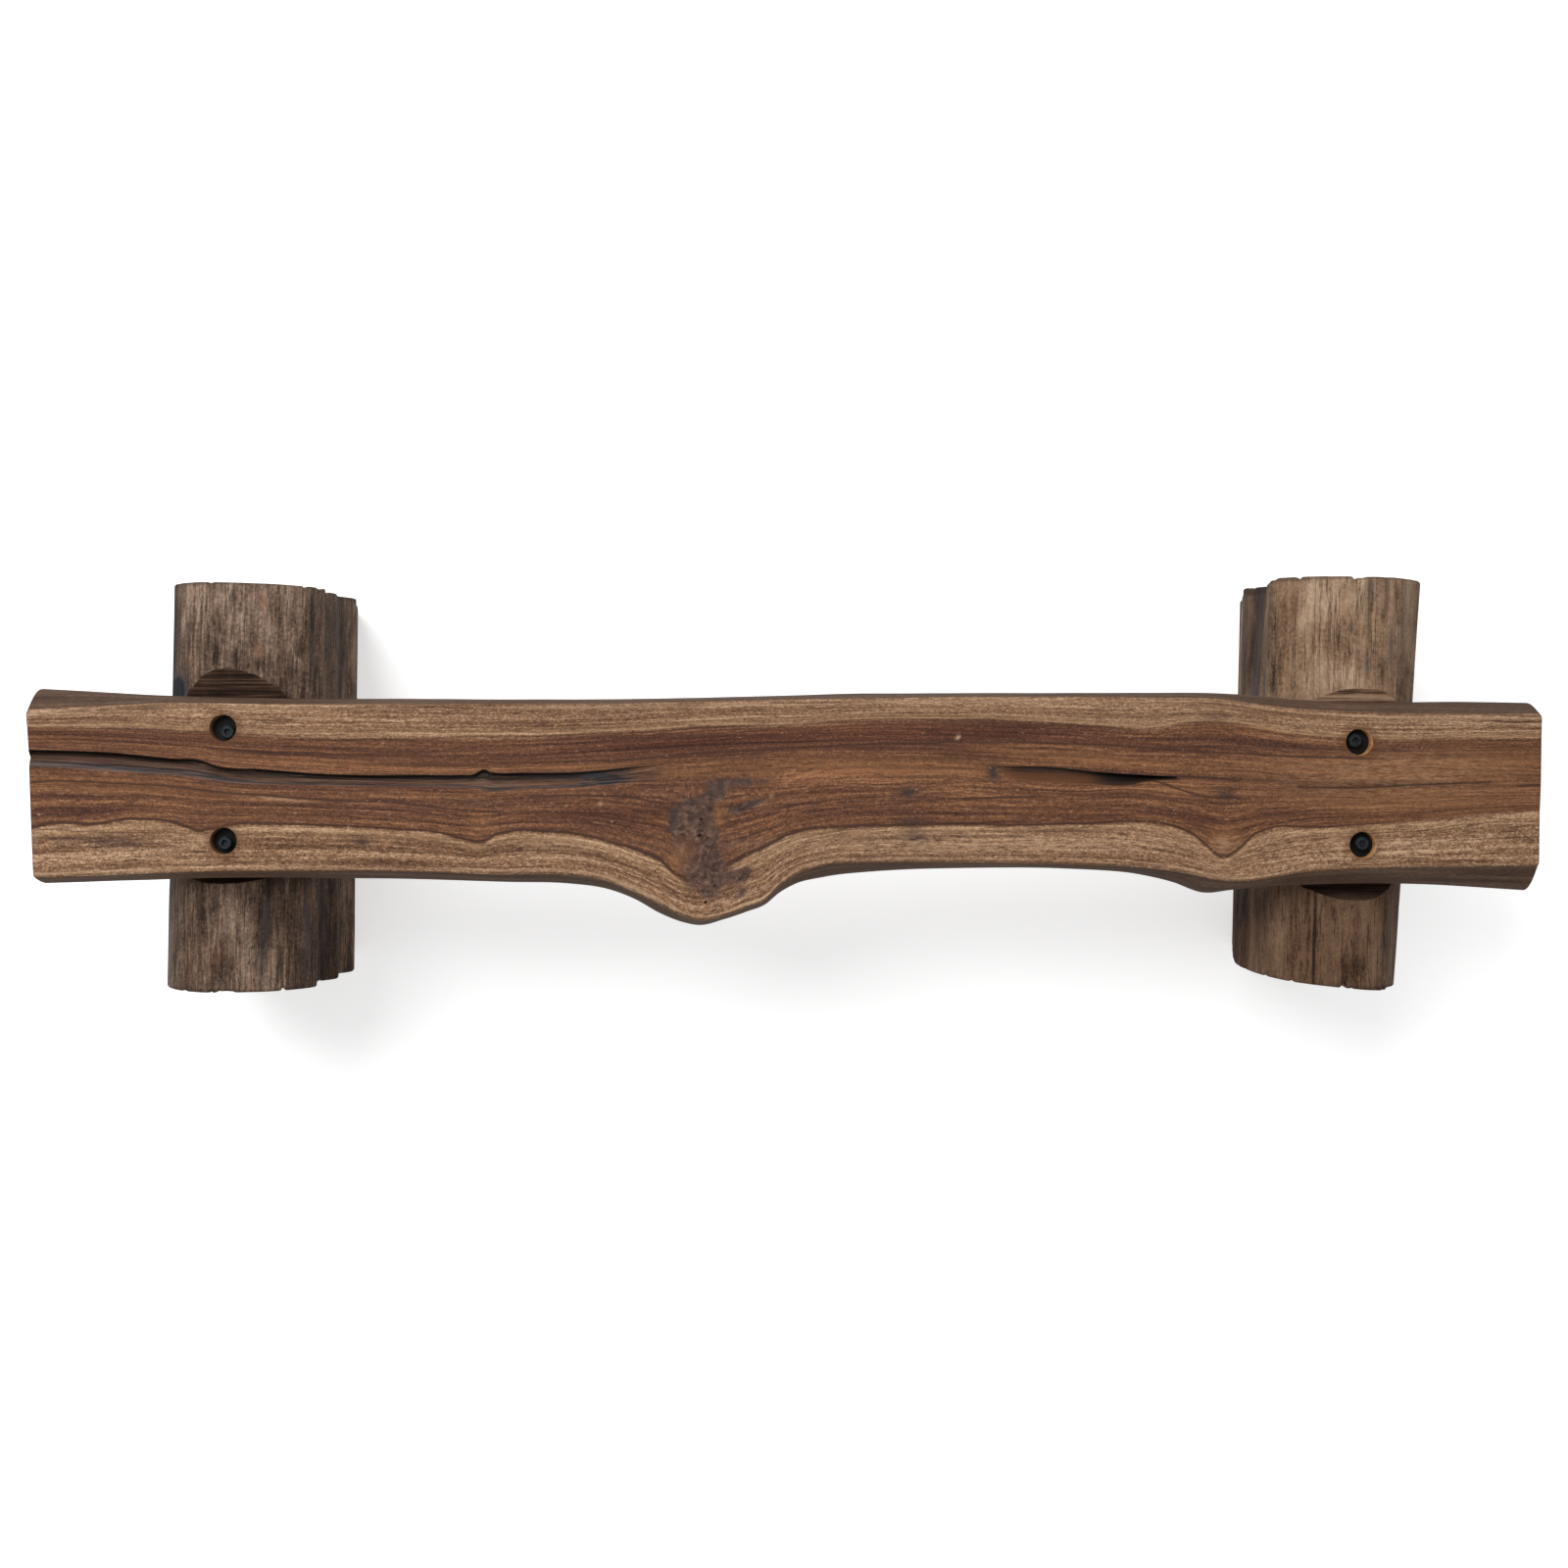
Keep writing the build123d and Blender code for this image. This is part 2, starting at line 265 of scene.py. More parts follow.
sheet.add("ShaderNodeOutputMaterial",
          {"Surface": sheet.add("ShaderNodeAddShader", {0: matt, 1: shine})})
floor.data.materials.append(floor_material)
print("floor", FLOOR_SIZE, "m square, lamp at", LAMP_PLACE)

# %% [markdown]
# ## Surfaces from grids
#
# Each piece of timber is one closed skin. Its shape is a row of sections, and each section is a
# ring of points, so the whole piece is an array of sections by points by three coordinates.
# Neighbours in the array become the four corners of a face, and a pole closes each end.
# Random roughness comes from value noise, which gives the same result in each run.


# %% Curves, steps and noise
MM = 0.001


def curve_through(table, at, column=1):
    """Height of a smooth curve through a table's points, at the places `at`.

    Between two rows it is the cubic h00*y0 + h10*d*m0 + h01*y1 + h11*d*m1, with d the distance
    between the rows and m the slope of the line through each row's neighbours.
    """
    rows = np.asarray(table, float)
    xs, ys = rows[:, 0], rows[:, column]
    slope = np.gradient(ys, xs)
    left = np.clip(np.searchsorted(xs, at) - 1, 0, len(xs) - 2)
    gap = xs[left + 1] - xs[left]
    t = np.clip((at - xs[left]) / gap, 0, 1)
    return ((2 * t**3 - 3 * t**2 + 1) * ys[left] + (t**3 - 2 * t**2 + t) * gap * slope[left]
            + (3 * t**2 - 2 * t**3) * ys[left + 1] + (t**3 - t**2) * gap * slope[left + 1])


def smooth_step(value, low, high):
    """0 below low, 1 above high, and 3t^2 - 2t^3 between them."""
    t = np.clip((value - low) / (high - low), 0, 1)
    return t * t * (3 - 2 * t)


def bell(*offsets):
    """A soft round spot: exp of minus the sum of the squared offsets."""
    return np.exp(-sum(offset ** 2 for offset in offsets))


# An integer hash: factors for a cell's three numbers and for the seed, then its rounds.
CELL_FACTORS, SEED_FACTOR = (73856093, 19349663, 83492791), 40503
HASH_ROUNDS = ((15, 2246822519), (13, 3266489917), (16, 1))  # shift to the right, and factor
LOW_32_BITS = 0xFFFFFFFF


def lattice_noise(points, seed):
    """Value noise from -1 to 1: a random number at each corner of a unit lattice, blended."""
    cell = np.floor(points).astype(np.int64)
    part = points - cell
    part = part * part * (3 - 2 * part)
    total = np.zeros(points.shape[:-1])
    for corner in np.ndindex(2, 2, 2):
        mixed = np.bitwise_xor.reduce((cell + np.array(corner)) * CELL_FACTORS, axis=-1)
        mixed = (mixed + seed * SEED_FACTOR) & LOW_32_BITS
        for shift, factor in HASH_ROUNDS:
            mixed = ((mixed ^ (mixed >> shift)) * factor) & LOW_32_BITS
        weight = np.prod(np.where(corner, part, 1 - part), axis=-1)
        total += weight * (mixed / 2**31 - 1)
    return total


def rough(x, y, z, scale, seed=0, octaves=2):
    """Layers of lattice noise, each twice as fine and half as strong; scale is cycles a metre."""
    points = np.stack(np.broadcast_arrays(x, y, z), axis=-1) * np.array(scale, float)
    layers = [lattice_noise(points * 2**k, seed + k) / 2**k for k in range(octaves)]
    return sum(layers) / (2 - 2 ** (1 - octaves))


# %% Skins from arrays
def new_piece(name, vertices, faces_by_size, slots):
    """An object from arrays: vertices, faces as a list of arrays of corner numbers, and slots."""
    mesh = bpy.data.meshes.new(name)
    mesh.vertices.add(len(vertices))
    mesh.vertices.foreach_set("co", vertices.astype(np.float32).ravel())
    corners = np.concatenate([faces.ravel() for faces in faces_by_size])
    sizes = np.concatenate([np.full(len(faces), faces.shape[1]) for faces in faces_by_size])
    mesh.loops.add(len(corners))
    mesh.loops.foreach_set("vertex_index", corners.astype(np.int32))
    mesh.polygons.add(len(sizes))
    starts = np.concatenate([[0], np.cumsum(sizes)[:-1]])
    mesh.polygons.foreach_set("loop_start", starts.astype(np.int32))
    mesh.polygons.foreach_set("material_index", slots.astype(np.int32))
    mesh.update(calc_edges=True)
    mesh.validate()
    piece = bpy.data.objects.new(name, mesh)
    bpy.context.scene.collection.objects.link(piece)
    return piece


def volume(piece):
    """Volume inside a skin: a sixth of the sum of a . (b x c) over its triangles."""
    mesh = piece.data
    mesh.calc_loop_triangles()
    co = np.empty(len(mesh.vertices) * 3)
    mesh.vertices.foreach_get("co", co)
    corners = np.empty(len(mesh.loop_triangles) * 3, int)
    mesh.loop_triangles.foreach_get("vertices", corners)
    a, b, c = co.reshape(-1, 3)[corners.reshape(-1, 3)].transpose(1, 0, 2)
    return float((a * np.cross(b, c)).sum() / 6)


SIDE_SLOT, END_SLOT, CUT_SLOT = 0, 1, 2


def closed_skin(name, rings, end_rings):
    """A closed skin from an array of rings (rings, points, 3), with a pole at each end.

    The first end_rings and the last end_rings rows of faces, and the poles' triangles, are the
    sawn ends. Corner numbers follow from the place in the array: ring * points + point. Where
    the volume comes out negative, the faces looked inwards and are turned round.
    """
    ring_count, points = rings.shape[:2]
    ring, point = np.meshgrid(np.arange(ring_count - 1), np.arange(points), indexing="ij")
    after = (point + 1) % points
    quads = np.stack([ring * points + point, (ring + 1) * points + point,
                      (ring + 1) * points + after, ring * points + after], axis=-1)
    around = np.arange(points)
    following = (around + 1) % points
    first_pole = ring_count * points
    last_ring = (ring_count - 1) * points
    start_fan = np.stack([np.full(points, first_pole), around, following], axis=-1)
    end_fan = np.stack([np.full(points, first_pole + 1), last_ring + following,
                        last_ring + around], axis=-1)
    vertices = np.concatenate([rings.reshape(-1, 3), rings[:1].mean(axis=1),
                               rings[-1:].mean(axis=1)])
    is_end = (ring < end_rings) | (ring >= ring_count - 1 - end_rings)
    slots = np.concatenate([np.where(is_end, END_SLOT, SIDE_SLOT).ravel(),
                            np.full(2 * points, END_SLOT)])
    piece = new_piece(name, vertices, [quads.reshape(-1, 4), start_fan, end_fan], slots)
    if volume(piece) < 0:
        piece.data.flip_normals()
    return piece


def with_ends(rings, shares):
    """Adds rings over both sawn ends, drawn in to the end's middle by each of the shares."""
    first, last = rings[:1], rings[-1:]
    at_start = [first.mean(axis=1, keepdims=True) * (1 - s) + first * s for s in shares]
    at_end = [last.mean(axis=1, keepdims=True) * (1 - s) + last * s for s in shares]
    return np.concatenate(at_start[::-1] + [rings] + at_end)


def lathe(x, y, profile, points):
    """A turned solid round an upright axis, from pairs of a height and a radius."""
    angle = np.linspace(0, 2 * pi, points, endpoint=False)
    height, radius = np.array(profile, float).T[:, :, None]
    return np.stack(np.broadcast_arrays(x + radius * np.cos(angle), y + radius * np.sin(angle),
                                        height), axis=-1)


def joined(name, ring_arrays):
    """One cutter from several turned or swept solids that stand clear of each other."""
    pieces = [closed_skin(name, rings, 0) for rings in ring_arrays]
    with bpy.context.temp_override(active_object=pieces[0], selected_editable_objects=pieces):
        bpy.ops.object.join()
    faces = pieces[0].data.polygons
    faces.foreach_set("material_index", np.full(len(faces), CUT_SLOT, np.int32))
    return pieces[0]


SLIVER = 0.01 * MM  # edges shorter than this are closed up after a cut


def cut(piece, cutter):
    """Takes the cutter's volume out of the piece for good, and removes the cutter.

    Slivers of the cut are then closed up, and faces of more than four corners are split.
    """
    for slot_material in piece.data.materials:
        cutter.data.materials.append(slot_material)
    saw = piece.modifiers.new("saw", "BOOLEAN")
    saw.operation = "DIFFERENCE"
    saw.solver = "EXACT"
    saw.material_mode = "INDEX"
    saw.object = cutter
    graph = bpy.context.evaluated_depsgraph_get()
    result = bpy.data.meshes.new_from_object(piece.evaluated_get(graph))
    before = piece.data
    piece.modifiers.clear()
    clean = bmesh.new()
    clean.from_mesh(result)
    bmesh.ops.dissolve_degenerate(clean, dist=SLIVER, edges=clean.edges)
    many_sided = [face for face in clean.faces if len(face.verts) > 4]
    bmesh.ops.triangulate(clean, faces=many_sided, ngon_method="BEAUTY")
    clean.to_mesh(result)
    clean.free()
    piece.data = result
    result.name = piece.name
    bpy.data.meshes.remove(before)
    bpy.data.objects.remove(cutter)


def positions(piece):
    """X, Y and Z of all vertices of a piece, as three arrays."""
    co = np.empty(len(piece.data.vertices) * 3, np.float32)
    piece.data.vertices.foreach_get("co", co)
    return co.reshape(-1, 3).astype(float).T


def carry(piece, name, *values):
    """Stores one number, or a vector of three, at each vertex for the material to read."""
    if len(values) == 1:
        layer = piece.data.attributes.new(name, "FLOAT", "POINT")
        layer.data.foreach_set("value", values[0].astype(np.float32))
    else:
        layer = piece.data.attributes.new(name, "FLOAT_VECTOR", "POINT")
        stacked = np.stack(np.broadcast_arrays(*values), axis=-1)
        layer.data.foreach_set("vector", stacked.astype(np.float32).ravel())


def report(piece):
    """Prints a piece's triangles and volume."""
    triangles = sum(len(face.vertices) - 2 for face in piece.data.polygons)
    print(f"{piece.name}: {triangles} triangles, {volume(piece) * 1e3:.2f} litres")


# %% [markdown]
# ## The plank's plan
#
# The plank is a slice of a whole small trunk, so both edges are live and follow the tree, and
# the heart lies near the middle of the top. As the round timber dried it split along the heart.
# All of that is drawn on a plan of the top, at 0.9684 mm a unit with its middle at (800, 800),
# x to the right and y towards the front. Every line runs the length of the plank: the two live
# edges, the borders between brown heartwood and pale sapwood, and the lips of the splits.

# %% Lines of the plan
PLAN_UNIT = 0.9684 * MM
PLAN_MIDDLE = 800
PLAN_SHIFT = -5 * MM  # Y of the plan's middle

SEAT_TOP = 0.430
SEAT_LINE = -0.0075
SEAT_HALF_WIDTH = 0.085
SEAT_LENGTH = 1.500
UNDERSIDE = 0.355
BELLY_HEIGHT = 0.390
ARRIS = 3 * MM

# A live edge's rows: station as a share of the length, swell in mm at the top and at the belly.
BACK_EDGE = [
    (-0.500, -9.5, 13.0), (-0.475, -7.6, 11.0), (-0.455, -6.0, 9.3), (-0.435, -4.2, 7.8),
    (-0.415, -2.6, 6.4), (-0.387, -2.4, 4.8), (-0.340, -3.6, 3.5), (-0.240, -3.5, 2.5),
    (-0.120, -3.0, 2.5), (-0.030, 0.0, 5.0),
    (0.060, 2.5, 8.0), (0.140, 3.5, 9.0), (0.240, 3.0, 9.0), (0.290, 1.0, 8.0),
    (0.315, -4.5, 6.0), (0.345, -9.0, 2.0), (0.395, -12.5, -0.5), (0.450, -13.5, -0.5),
    (0.500, -13.5, -1.5),
]
FRONT_EDGE = [
    (-0.500, 5.5, 12.0), (-0.440, 2.5, 9.0), (-0.380, -0.5, 6.5), (-0.300, -1.5, 6.5),
    (-0.240, -0.5, 8.0), (-0.190, 2.0, 10.0), (-0.145, 2.5, 12.5), (-0.120, 8.0, 18.0),
    (-0.102, 18.5, 28.0), (-0.085, 30.5, 42.0), (-0.070, 42.0, 51.0), (-0.058, 47.0, 54.0),
    (-0.042, 43.0, 48.0), (-0.026, 34.0, 40.0), (-0.013, 26.0, 32.0), (-0.005, 14.0, 22.0),
    (0.005, 3.0, 13.5), (0.025, -7.0, 6.0), (0.060, -10.0, 0.0), (0.120, -10.0, -3.5),
    (0.190, -8.0, -3.0), (0.235, -5.0, 2.0), (0.262, 0.0, 11.0), (0.282, 6.5, 21.5),
    (0.300, 9.0, 19.0), (0.318, 6.5, 16.0), (0.342, 0.0, 14.0), (0.375, -3.5, 12.5),
    (0.430, -5.5, 13.0), (0.500, -6.5, 19.0),
]
FRONT_SHORT = (7.0 * MM, 3.0 * MM)  # the front corners stop short at the left and right ends
AT_TOP, AT_BELLY = 1, 2

BACK_SAP = [
    (20, 742), (150, 744), (230, 748), (400, 753), (579, 750), (668, 745), (719, 742),
    (790, 741), (879, 735), (1007, 735), (1096, 740), (1188, 743), (1206, 739), (1240, 737),
    (1277, 741), (1305, 748), (1340, 752), (1405, 756), (1494, 754), (1580, 752),
]
SPLIT_LIP = [
    (20, 765), (112, 768), (173, 774), (204, 776), (222, 782), (265, 785), (316, 789),
    (370, 791), (430, 791), (470, 791), (484, 790), (489, 787), (494, 785), (500, 788),
    (508, 789), (530, 789), (591, 788), (642, 783), (693, 779),
    (760, 777), (850, 776), (940, 778), (1010, 782), (1071, 783), (1122, 788), (1188, 792),
    (1219, 793), (1258, 795), (1326, 799), (1400, 798), (1580, 798),
]
SPLIT_FOOT = [
    (20, 782), (74, 784), (112, 787), (189, 792), (240, 799), (291, 801), (408, 803),
    (470, 804), (486, 805), (497, 808), (515, 807), (552, 805), (590, 804), (617, 801),
    (655, 799), (720, 798), (850, 793), (940, 791),
    (1010, 790), (1030, 794.5), (1083, 799), (1113, 800.5), (1147, 802), (1156, 801),
    (1166, 798.5), (1192, 796),
    (1230, 800), (1300, 805), (1400, 807), (1580, 807),
]
FRONT_SAP = [
    (20, 847), (55, 841), (94, 842), (137, 837), (173, 840), (205, 848), (235, 842),
    (300, 842), (408, 847), (438, 849), (471, 857), (491, 861), (507, 853), (522, 849),
    (558, 849), (599, 853), (630, 861), (655, 870), (675, 880), (688, 893), (700, 900),
    (716, 897), (744, 884), (762, 874), (783, 864), (800, 855), (815, 850), (854, 846),
    (930, 843), (1014, 843), (1096, 841), (1188, 843), (1201, 847), (1219, 855),
    (1232, 866), (1245, 876), (1266, 867), (1277, 855), (1298, 846), (1337, 844),
    (1415, 841), (1494, 833), (1580, 826),
]
# Depth of the splits in mm along the plan.
SPLIT_DEPTH = [
    (20, 9.5), (200, 9), (240, 7.5), (320, 7), (408, 7), (486, 7), (497, 7.5), (560, 6.5),
    (600, 5.5), (640, 4.5), (660, 2.5), (690, 0), (700, 0), (1000, 0), (1010, 0), (1022, 1.2),
    (1060, 2.4), (1095, 3.6), (1112, 5.0), (1135, 8), (1160, 11.5), (1176, 12.5), (1188, 9),
    (1200, 2), (1212, 0),
    (1240, 0), (1580, 0),
]


def plan_x(u):
    """X of a plan drawing's place."""
    return (np.asarray(u, float) - PLAN_MIDDLE) * PLAN_UNIT


def plan_y(v):
    """Y of a plan drawing's place."""
    return (PLAN_MIDDLE - np.asarray(v, float)) * PLAN_UNIT + PLAN_SHIFT


def plan_line(table, x):
    """Y of a line of the plan at each X."""
    return plan_y(curve_through(table, x / PLAN_UNIT + PLAN_MIDDLE))


def end_xs(side):
    """X of the plank's two ends along one edge; side is 1 at the back and -1 at the front."""
    short_left, short_right = FRONT_SHORT if side < 0 else (0.0, 0.0)
    return -SEAT_LENGTH / 2 + short_left, SEAT_LENGTH / 2 - short_right


def edge_y(x, side, column, inset=0.0):
    """Y of a live edge at each X, at the level of one of its table's columns."""
    left, right = end_xs(side)
    station = (x - (left + right) / 2) / (right - left)
    table = BACK_EDGE if side > 0 else FRONT_EDGE
    swell = curve_through(table, station, column) * MM
    return SEAT_LINE + side * (SEAT_HALF_WIDTH - inset + swell)


def plank_lines(x):
    """Y at each X of the six lines of the top, from the front arris to the back arris."""
    front, back = edge_y(x, -1, AT_TOP, ARRIS), edge_y(x, 1, AT_TOP, ARRIS)
    sap = np.maximum(plan_line(FRONT_SAP, x), front + 2 * MM)
    return [front, sap, plan_line(SPLIT_FOOT, x), plan_line(SPLIT_LIP, x),
            plan_line(BACK_SAP, x), back]


def split_depth(x):
    """How deep the splits are at each X, in metres."""
    return np.maximum(curve_through(SPLIT_DEPTH, x / PLAN_UNIT + PLAN_MIDDLE), 0) * MM


print("plank from", end_xs(1), "at the back to", end_xs(-1), "at the front")

# %% [markdown]
# ## The plank's skin
#
# A section of the plank is a closed ring of fourteen corners, and each stretch between two
# corners gets its own number of points. On the top the corners are the lines of the plan, so
# points lie exactly on the lips of the splits. Down the sides the stretch swells to the belly
# like a quarter turn. The floor of a split rises slowly from its foot, under the steep back
# lip, towards the front. That wedge is why a drying split looks black along one side only.

# %% Sections of the plank
PLANK_SECTIONS = 480
END_STEPS = np.array([0.0, 0.3, 0.9, 1.8, 3.0]) * MM  # first sections, over the rubbed edge
PLANK_END_SHARES = (0.985, 0.93, 0.82, 0.66, 0.45, 0.22)
KNOT_STATION, SPLIT_STATION = -0.055, 0.23  # where the sections stand closer
STATION_REACH = 0.05
TOP_LINE_SHARES = (0.0, 0.27, 0.55, 0.62, 0.82, 1.0)  # the six lines' places across the top
HALF_SECTION = (0.090, (SEAT_TOP - UNDERSIDE) / 2)  # half a section's width and height


def straight(t):
    """Runs evenly."""
    return t


def early(t):
    """Quarter turn that starts fast: sin."""
    return np.sin(t * pi / 2)


def late(t):
    """Quarter turn that ends fast: 1 - cos."""
    return 1 - np.cos(t * pi / 2)


# Each row: points in the stretch, then how Y and how Z run from its first corner to its next.
STRETCHES = [
    (22, straight, straight),  # front arris to the front sap border
    (24, straight, straight),  # to the foot of the split
    (14, straight, straight),  # to its lip
    (15, straight, straight),  # to the back sap border
    (13, straight, straight),  # to the back arris
    (4, early, late),  # over the arris
    (12, early, straight),  # down to the belly
    (9, late, straight),  # in to the underside
    (3, late, early),  # round its edge
    (36, straight, straight),  # along the underside to the front
    (3, early, late),
    (9, early, straight),
    (12, late, straight),
    (4, late, early),
]
SPLIT_POINTS = [0, .05, .12, .20, .29, .39, .50, .60, .69, .77, .84, .90, .945, .98]
SPLIT_FALL = [0, .03, .07, .13, .20, .28, .38, .50, .64, .80, .95, 1.0, .93, .5]
SPLIT_FLOOR_STRETCH = 2


def plank_stations():
    """Stations from end to end: the rubbed edges' own, and closer ones by the knot and split."""
    near_ends = END_STEPS / SEAT_LENGTH
    place = np.linspace(-0.5, 0.5, 4000)
    density = (1 + 1.3 * bell((place - KNOT_STATION) / STATION_REACH)
               + 0.8 * bell((place - SPLIT_STATION) / STATION_REACH))
    inside = (place > -0.5 + near_ends[-1]) & (place < 0.5 - near_ends[-1])
    reached = np.cumsum(density * inside)
    even = np.linspace(0, reached[-1], PLANK_SECTIONS - 2 * len(near_ends) + 2)[1:-1]
    middle = np.interp(even, reached, place)
    return np.concatenate([-0.5 + near_ends, middle, 0.5 - near_ends[::-1]])


def plank_corners(station):
    """The fourteen corners of each section as X, Y and Z arrays."""
    xs = {side: sum(end_xs(side)) / 2 + station * (end_xs(side)[1] - end_xs(side)[0])
          for side in (-1, 1)}
    top_x = [xs[-1] * (1 - share) + xs[1] * share for share in TOP_LINE_SHARES]
    corners = [(x, plank_lines(x)[k], SEAT_TOP) for k, x in enumerate(top_x)]
    levels = [(AT_TOP, 0.0, SEAT_TOP - ARRIS), (AT_BELLY, 0.0, BELLY_HEIGHT),
              (AT_BELLY, 8 * MM, UNDERSIDE + ARRIS), (AT_BELLY, 11 * MM, UNDERSIDE)]
    corners += [(xs[1], edge_y(xs[1], 1, column, inset), z) for column, inset, z in levels]
    corners += [(xs[-1], edge_y(xs[-1], -1, column, inset), z)
                for column, inset, z in levels[::-1]]
    return [np.stack(np.broadcast_arrays(*corner), axis=-1) for corner in corners]


def plank_rings():
    """The plank's sections before the wood's own roughness is added."""
    corners = plank_corners(plank_stations())
    stretches = []
    following = corners[1:] + corners[:1]
    for index, ((points, run_y, run_z), a, b) in enumerate(zip(STRETCHES, corners, following)):
        t = np.linspace(0, 1, points, endpoint=False)
        if index == SPLIT_FLOOR_STRETCH:
            t = np.array(SPLIT_POINTS)
        shares = np.stack([t, run_y(t), run_z(t)], axis=-1)
        stretches.append(a[:, None] + shares * (b - a)[:, None])
    return np.concatenate(stretches, axis=1)


def rub_ends(rings):
    """Draws the first and last sections in round their middle, as a quarter circle would."""
    steps = END_STEPS[:, None]
    inset = ARRIS - np.sqrt(ARRIS**2 - (ARRIS - steps) ** 2)
    for order in (slice(0, len(END_STEPS)), slice(-1, -1 - len(END_STEPS), -1)):
        part = rings[order, :, 1:]
        middle = part.mean(axis=1, keepdims=True)
        rings[order, :, 1:] = middle + (part - middle) * (1 - inset / HALF_SECTION)[:, None]
    return rings


rings = rub_ends(plank_rings())
print("plank grid", rings.shape)

# %% Relief of the plank
# Soft marks of the plan: place, half length and half width in mm, slope, strength.
BURR = [
    (699, 838, 15, 16, 0.0, 1.3), (711, 853, 19, 20, 0.0, 1.1), (716, 884, 24, 24, 0.08, 1.1),
    (731, 808, 10, 10, 0.0, 1.3), (718, 823, 12, 9, 0.5, 1.0), (758, 824, 22, 4.5, -0.33, 1.2),
    (748, 798, 22, 4, 0.05, 0.9), (724, 908, 12, 13, 0.0, 0.6), (759, 892, 15, 9, -0.3, 0.72),
    (756, 913, 13, 7, -0.3, 0.62), (740, 836, 6, 7, 0.0, -0.8),
]
WEAR_DEPTH, BURR_DEPTH = 0.9 * MM, 1.3 * MM  # how far wear and the burr lower the top
TORN_SHARE = 0.16  # unevenness of a split's floor, as a share of its depth
LIP_LEAN = 0.14  # how far the lip overhangs, as a share of the depth
FACET_DEPTH = 1.1 * MM  # of the tool marks on the live edges


def soft_marks(rows, x, y):
    """The sum of soft ellipses: strength * exp(-(along / half length)^2 - (across / width)^2)."""
    total = np.zeros_like(x)
    for u, v, half_length, half_width, slope, strength in rows:
        along = x - plan_x(u)
        aside = y - plan_y(v) + slope * along
        total += strength * bell(along / (half_length * MM), aside / (half_width * MM))
    return total


def burr_share(x, y):
    """How far a place lies inside the burr, with a ragged border."""
    ragged = rough(x, y, 0, (75, 75, 1), seed=21, octaves=4) * 0.30
    return soft_marks(BURR, x, y) + ragged


def carve_plank(rings):
    """Lowers the floors of the splits and gives the rest its hand-worked unevenness."""
    x, y, z = rings[..., 0].copy(), rings[..., 1].copy(), rings[..., 2].copy()
    starts = np.concatenate([[0], np.cumsum([row[0] for row in STRETCHES])])
    on_top = smooth_step(z, SEAT_TOP - ARRIS, SEAT_TOP)
    worn = 0.5 + 0.5 * rough(x, y, 0, (9, 26, 1), seed=5)
    burr = smooth_step(burr_share(x, y), 0.3, 0.6)
    burr = burr * (0.5 + 0.5 * rough(x, y, 0, (110, 110, 1), seed=7, octaves=3))
    rings[..., 2] -= on_top * (WEAR_DEPTH * worn + BURR_DEPTH * burr)

    floor = slice(starts[SPLIT_FLOOR_STRETCH], starts[SPLIT_FLOOR_STRETCH + 1])
    depth = split_depth(x[:, floor])
    fall = np.array(SPLIT_FALL)
    torn = rough(x[:, floor], y[:, floor], 0, (18, 420, 1), seed=3, octaves=3)
    drop = depth * (fall + TORN_SHARE * torn * np.sin(np.array(SPLIT_POINTS) * pi))
    rings[:, floor, 2] -= np.maximum(drop, 0)
    rings[:, floor, 1] += LIP_LEAN * depth * smooth_step(fall, 0.7, 1.0)

    facets = rough(x, y, z, (7, 30, 38), seed=9, octaves=3)
    on_side = smooth_step(SEAT_TOP - z, 0, 8 * MM)
    flank = np.clip(np.abs(y - SEAT_LINE) / 0.06 - 0.3, 0, 1)
    rings[..., 1] -= np.sign(y - SEAT_LINE) * on_side * flank * (facets - 0.45) * FACET_DEPTH
    rings[..., 2] += on_side * (1 - flank) * (0.4 + 0.4 * facets) * MM
    return rings


rings = carve_plank(rings)
plank = closed_skin("plank_timber", with_ends(rings, PLANK_END_SHARES), len(PLANK_END_SHARES))
report(plank)

# %% [markdown]
# ## Holes in the plank
#
# Each screw goes down through a counterbore and a clearance hole. They are crisp round edges,
# which a grid of timber can't follow, so they are cut with turned cutters. The burr has six
# worm-eaten pits, and those are cut with small crooked cones in the same pass.

# %% Cut the counterbores and the pits
# Each row: the counterbore's middle, then the hole's middle, in metres.
SCREW_HOLES = {
    "left_back": ((-0.5545, 0.0502), (-0.5514, 0.0468)),
    "left_front": ((-0.5540, -0.0613), (-0.5540, -0.0635)),
    "right_back": ((0.5687, 0.0365), (0.5659, 0.0380)),
    "right_front": ((0.5723, -0.0652), (0.5730, -0.0638)),
}
COUNTERBORE_RADIUS, HOLE_RADIUS = 13 * MM, 4.5 * MM
COUNTERBORE_FLOOR = 0.416
BORE_POINTS, PIT_POINTS = 72, 16  # points round each cutter
PITS = [(715, 836, 1.3), (714, 842, 0.8), (714, 853, 2.0), (716, 848, 0.8), (729, 904, 1.1),
        (720, 921, 1.5)]  # place on the plan and radius in mm


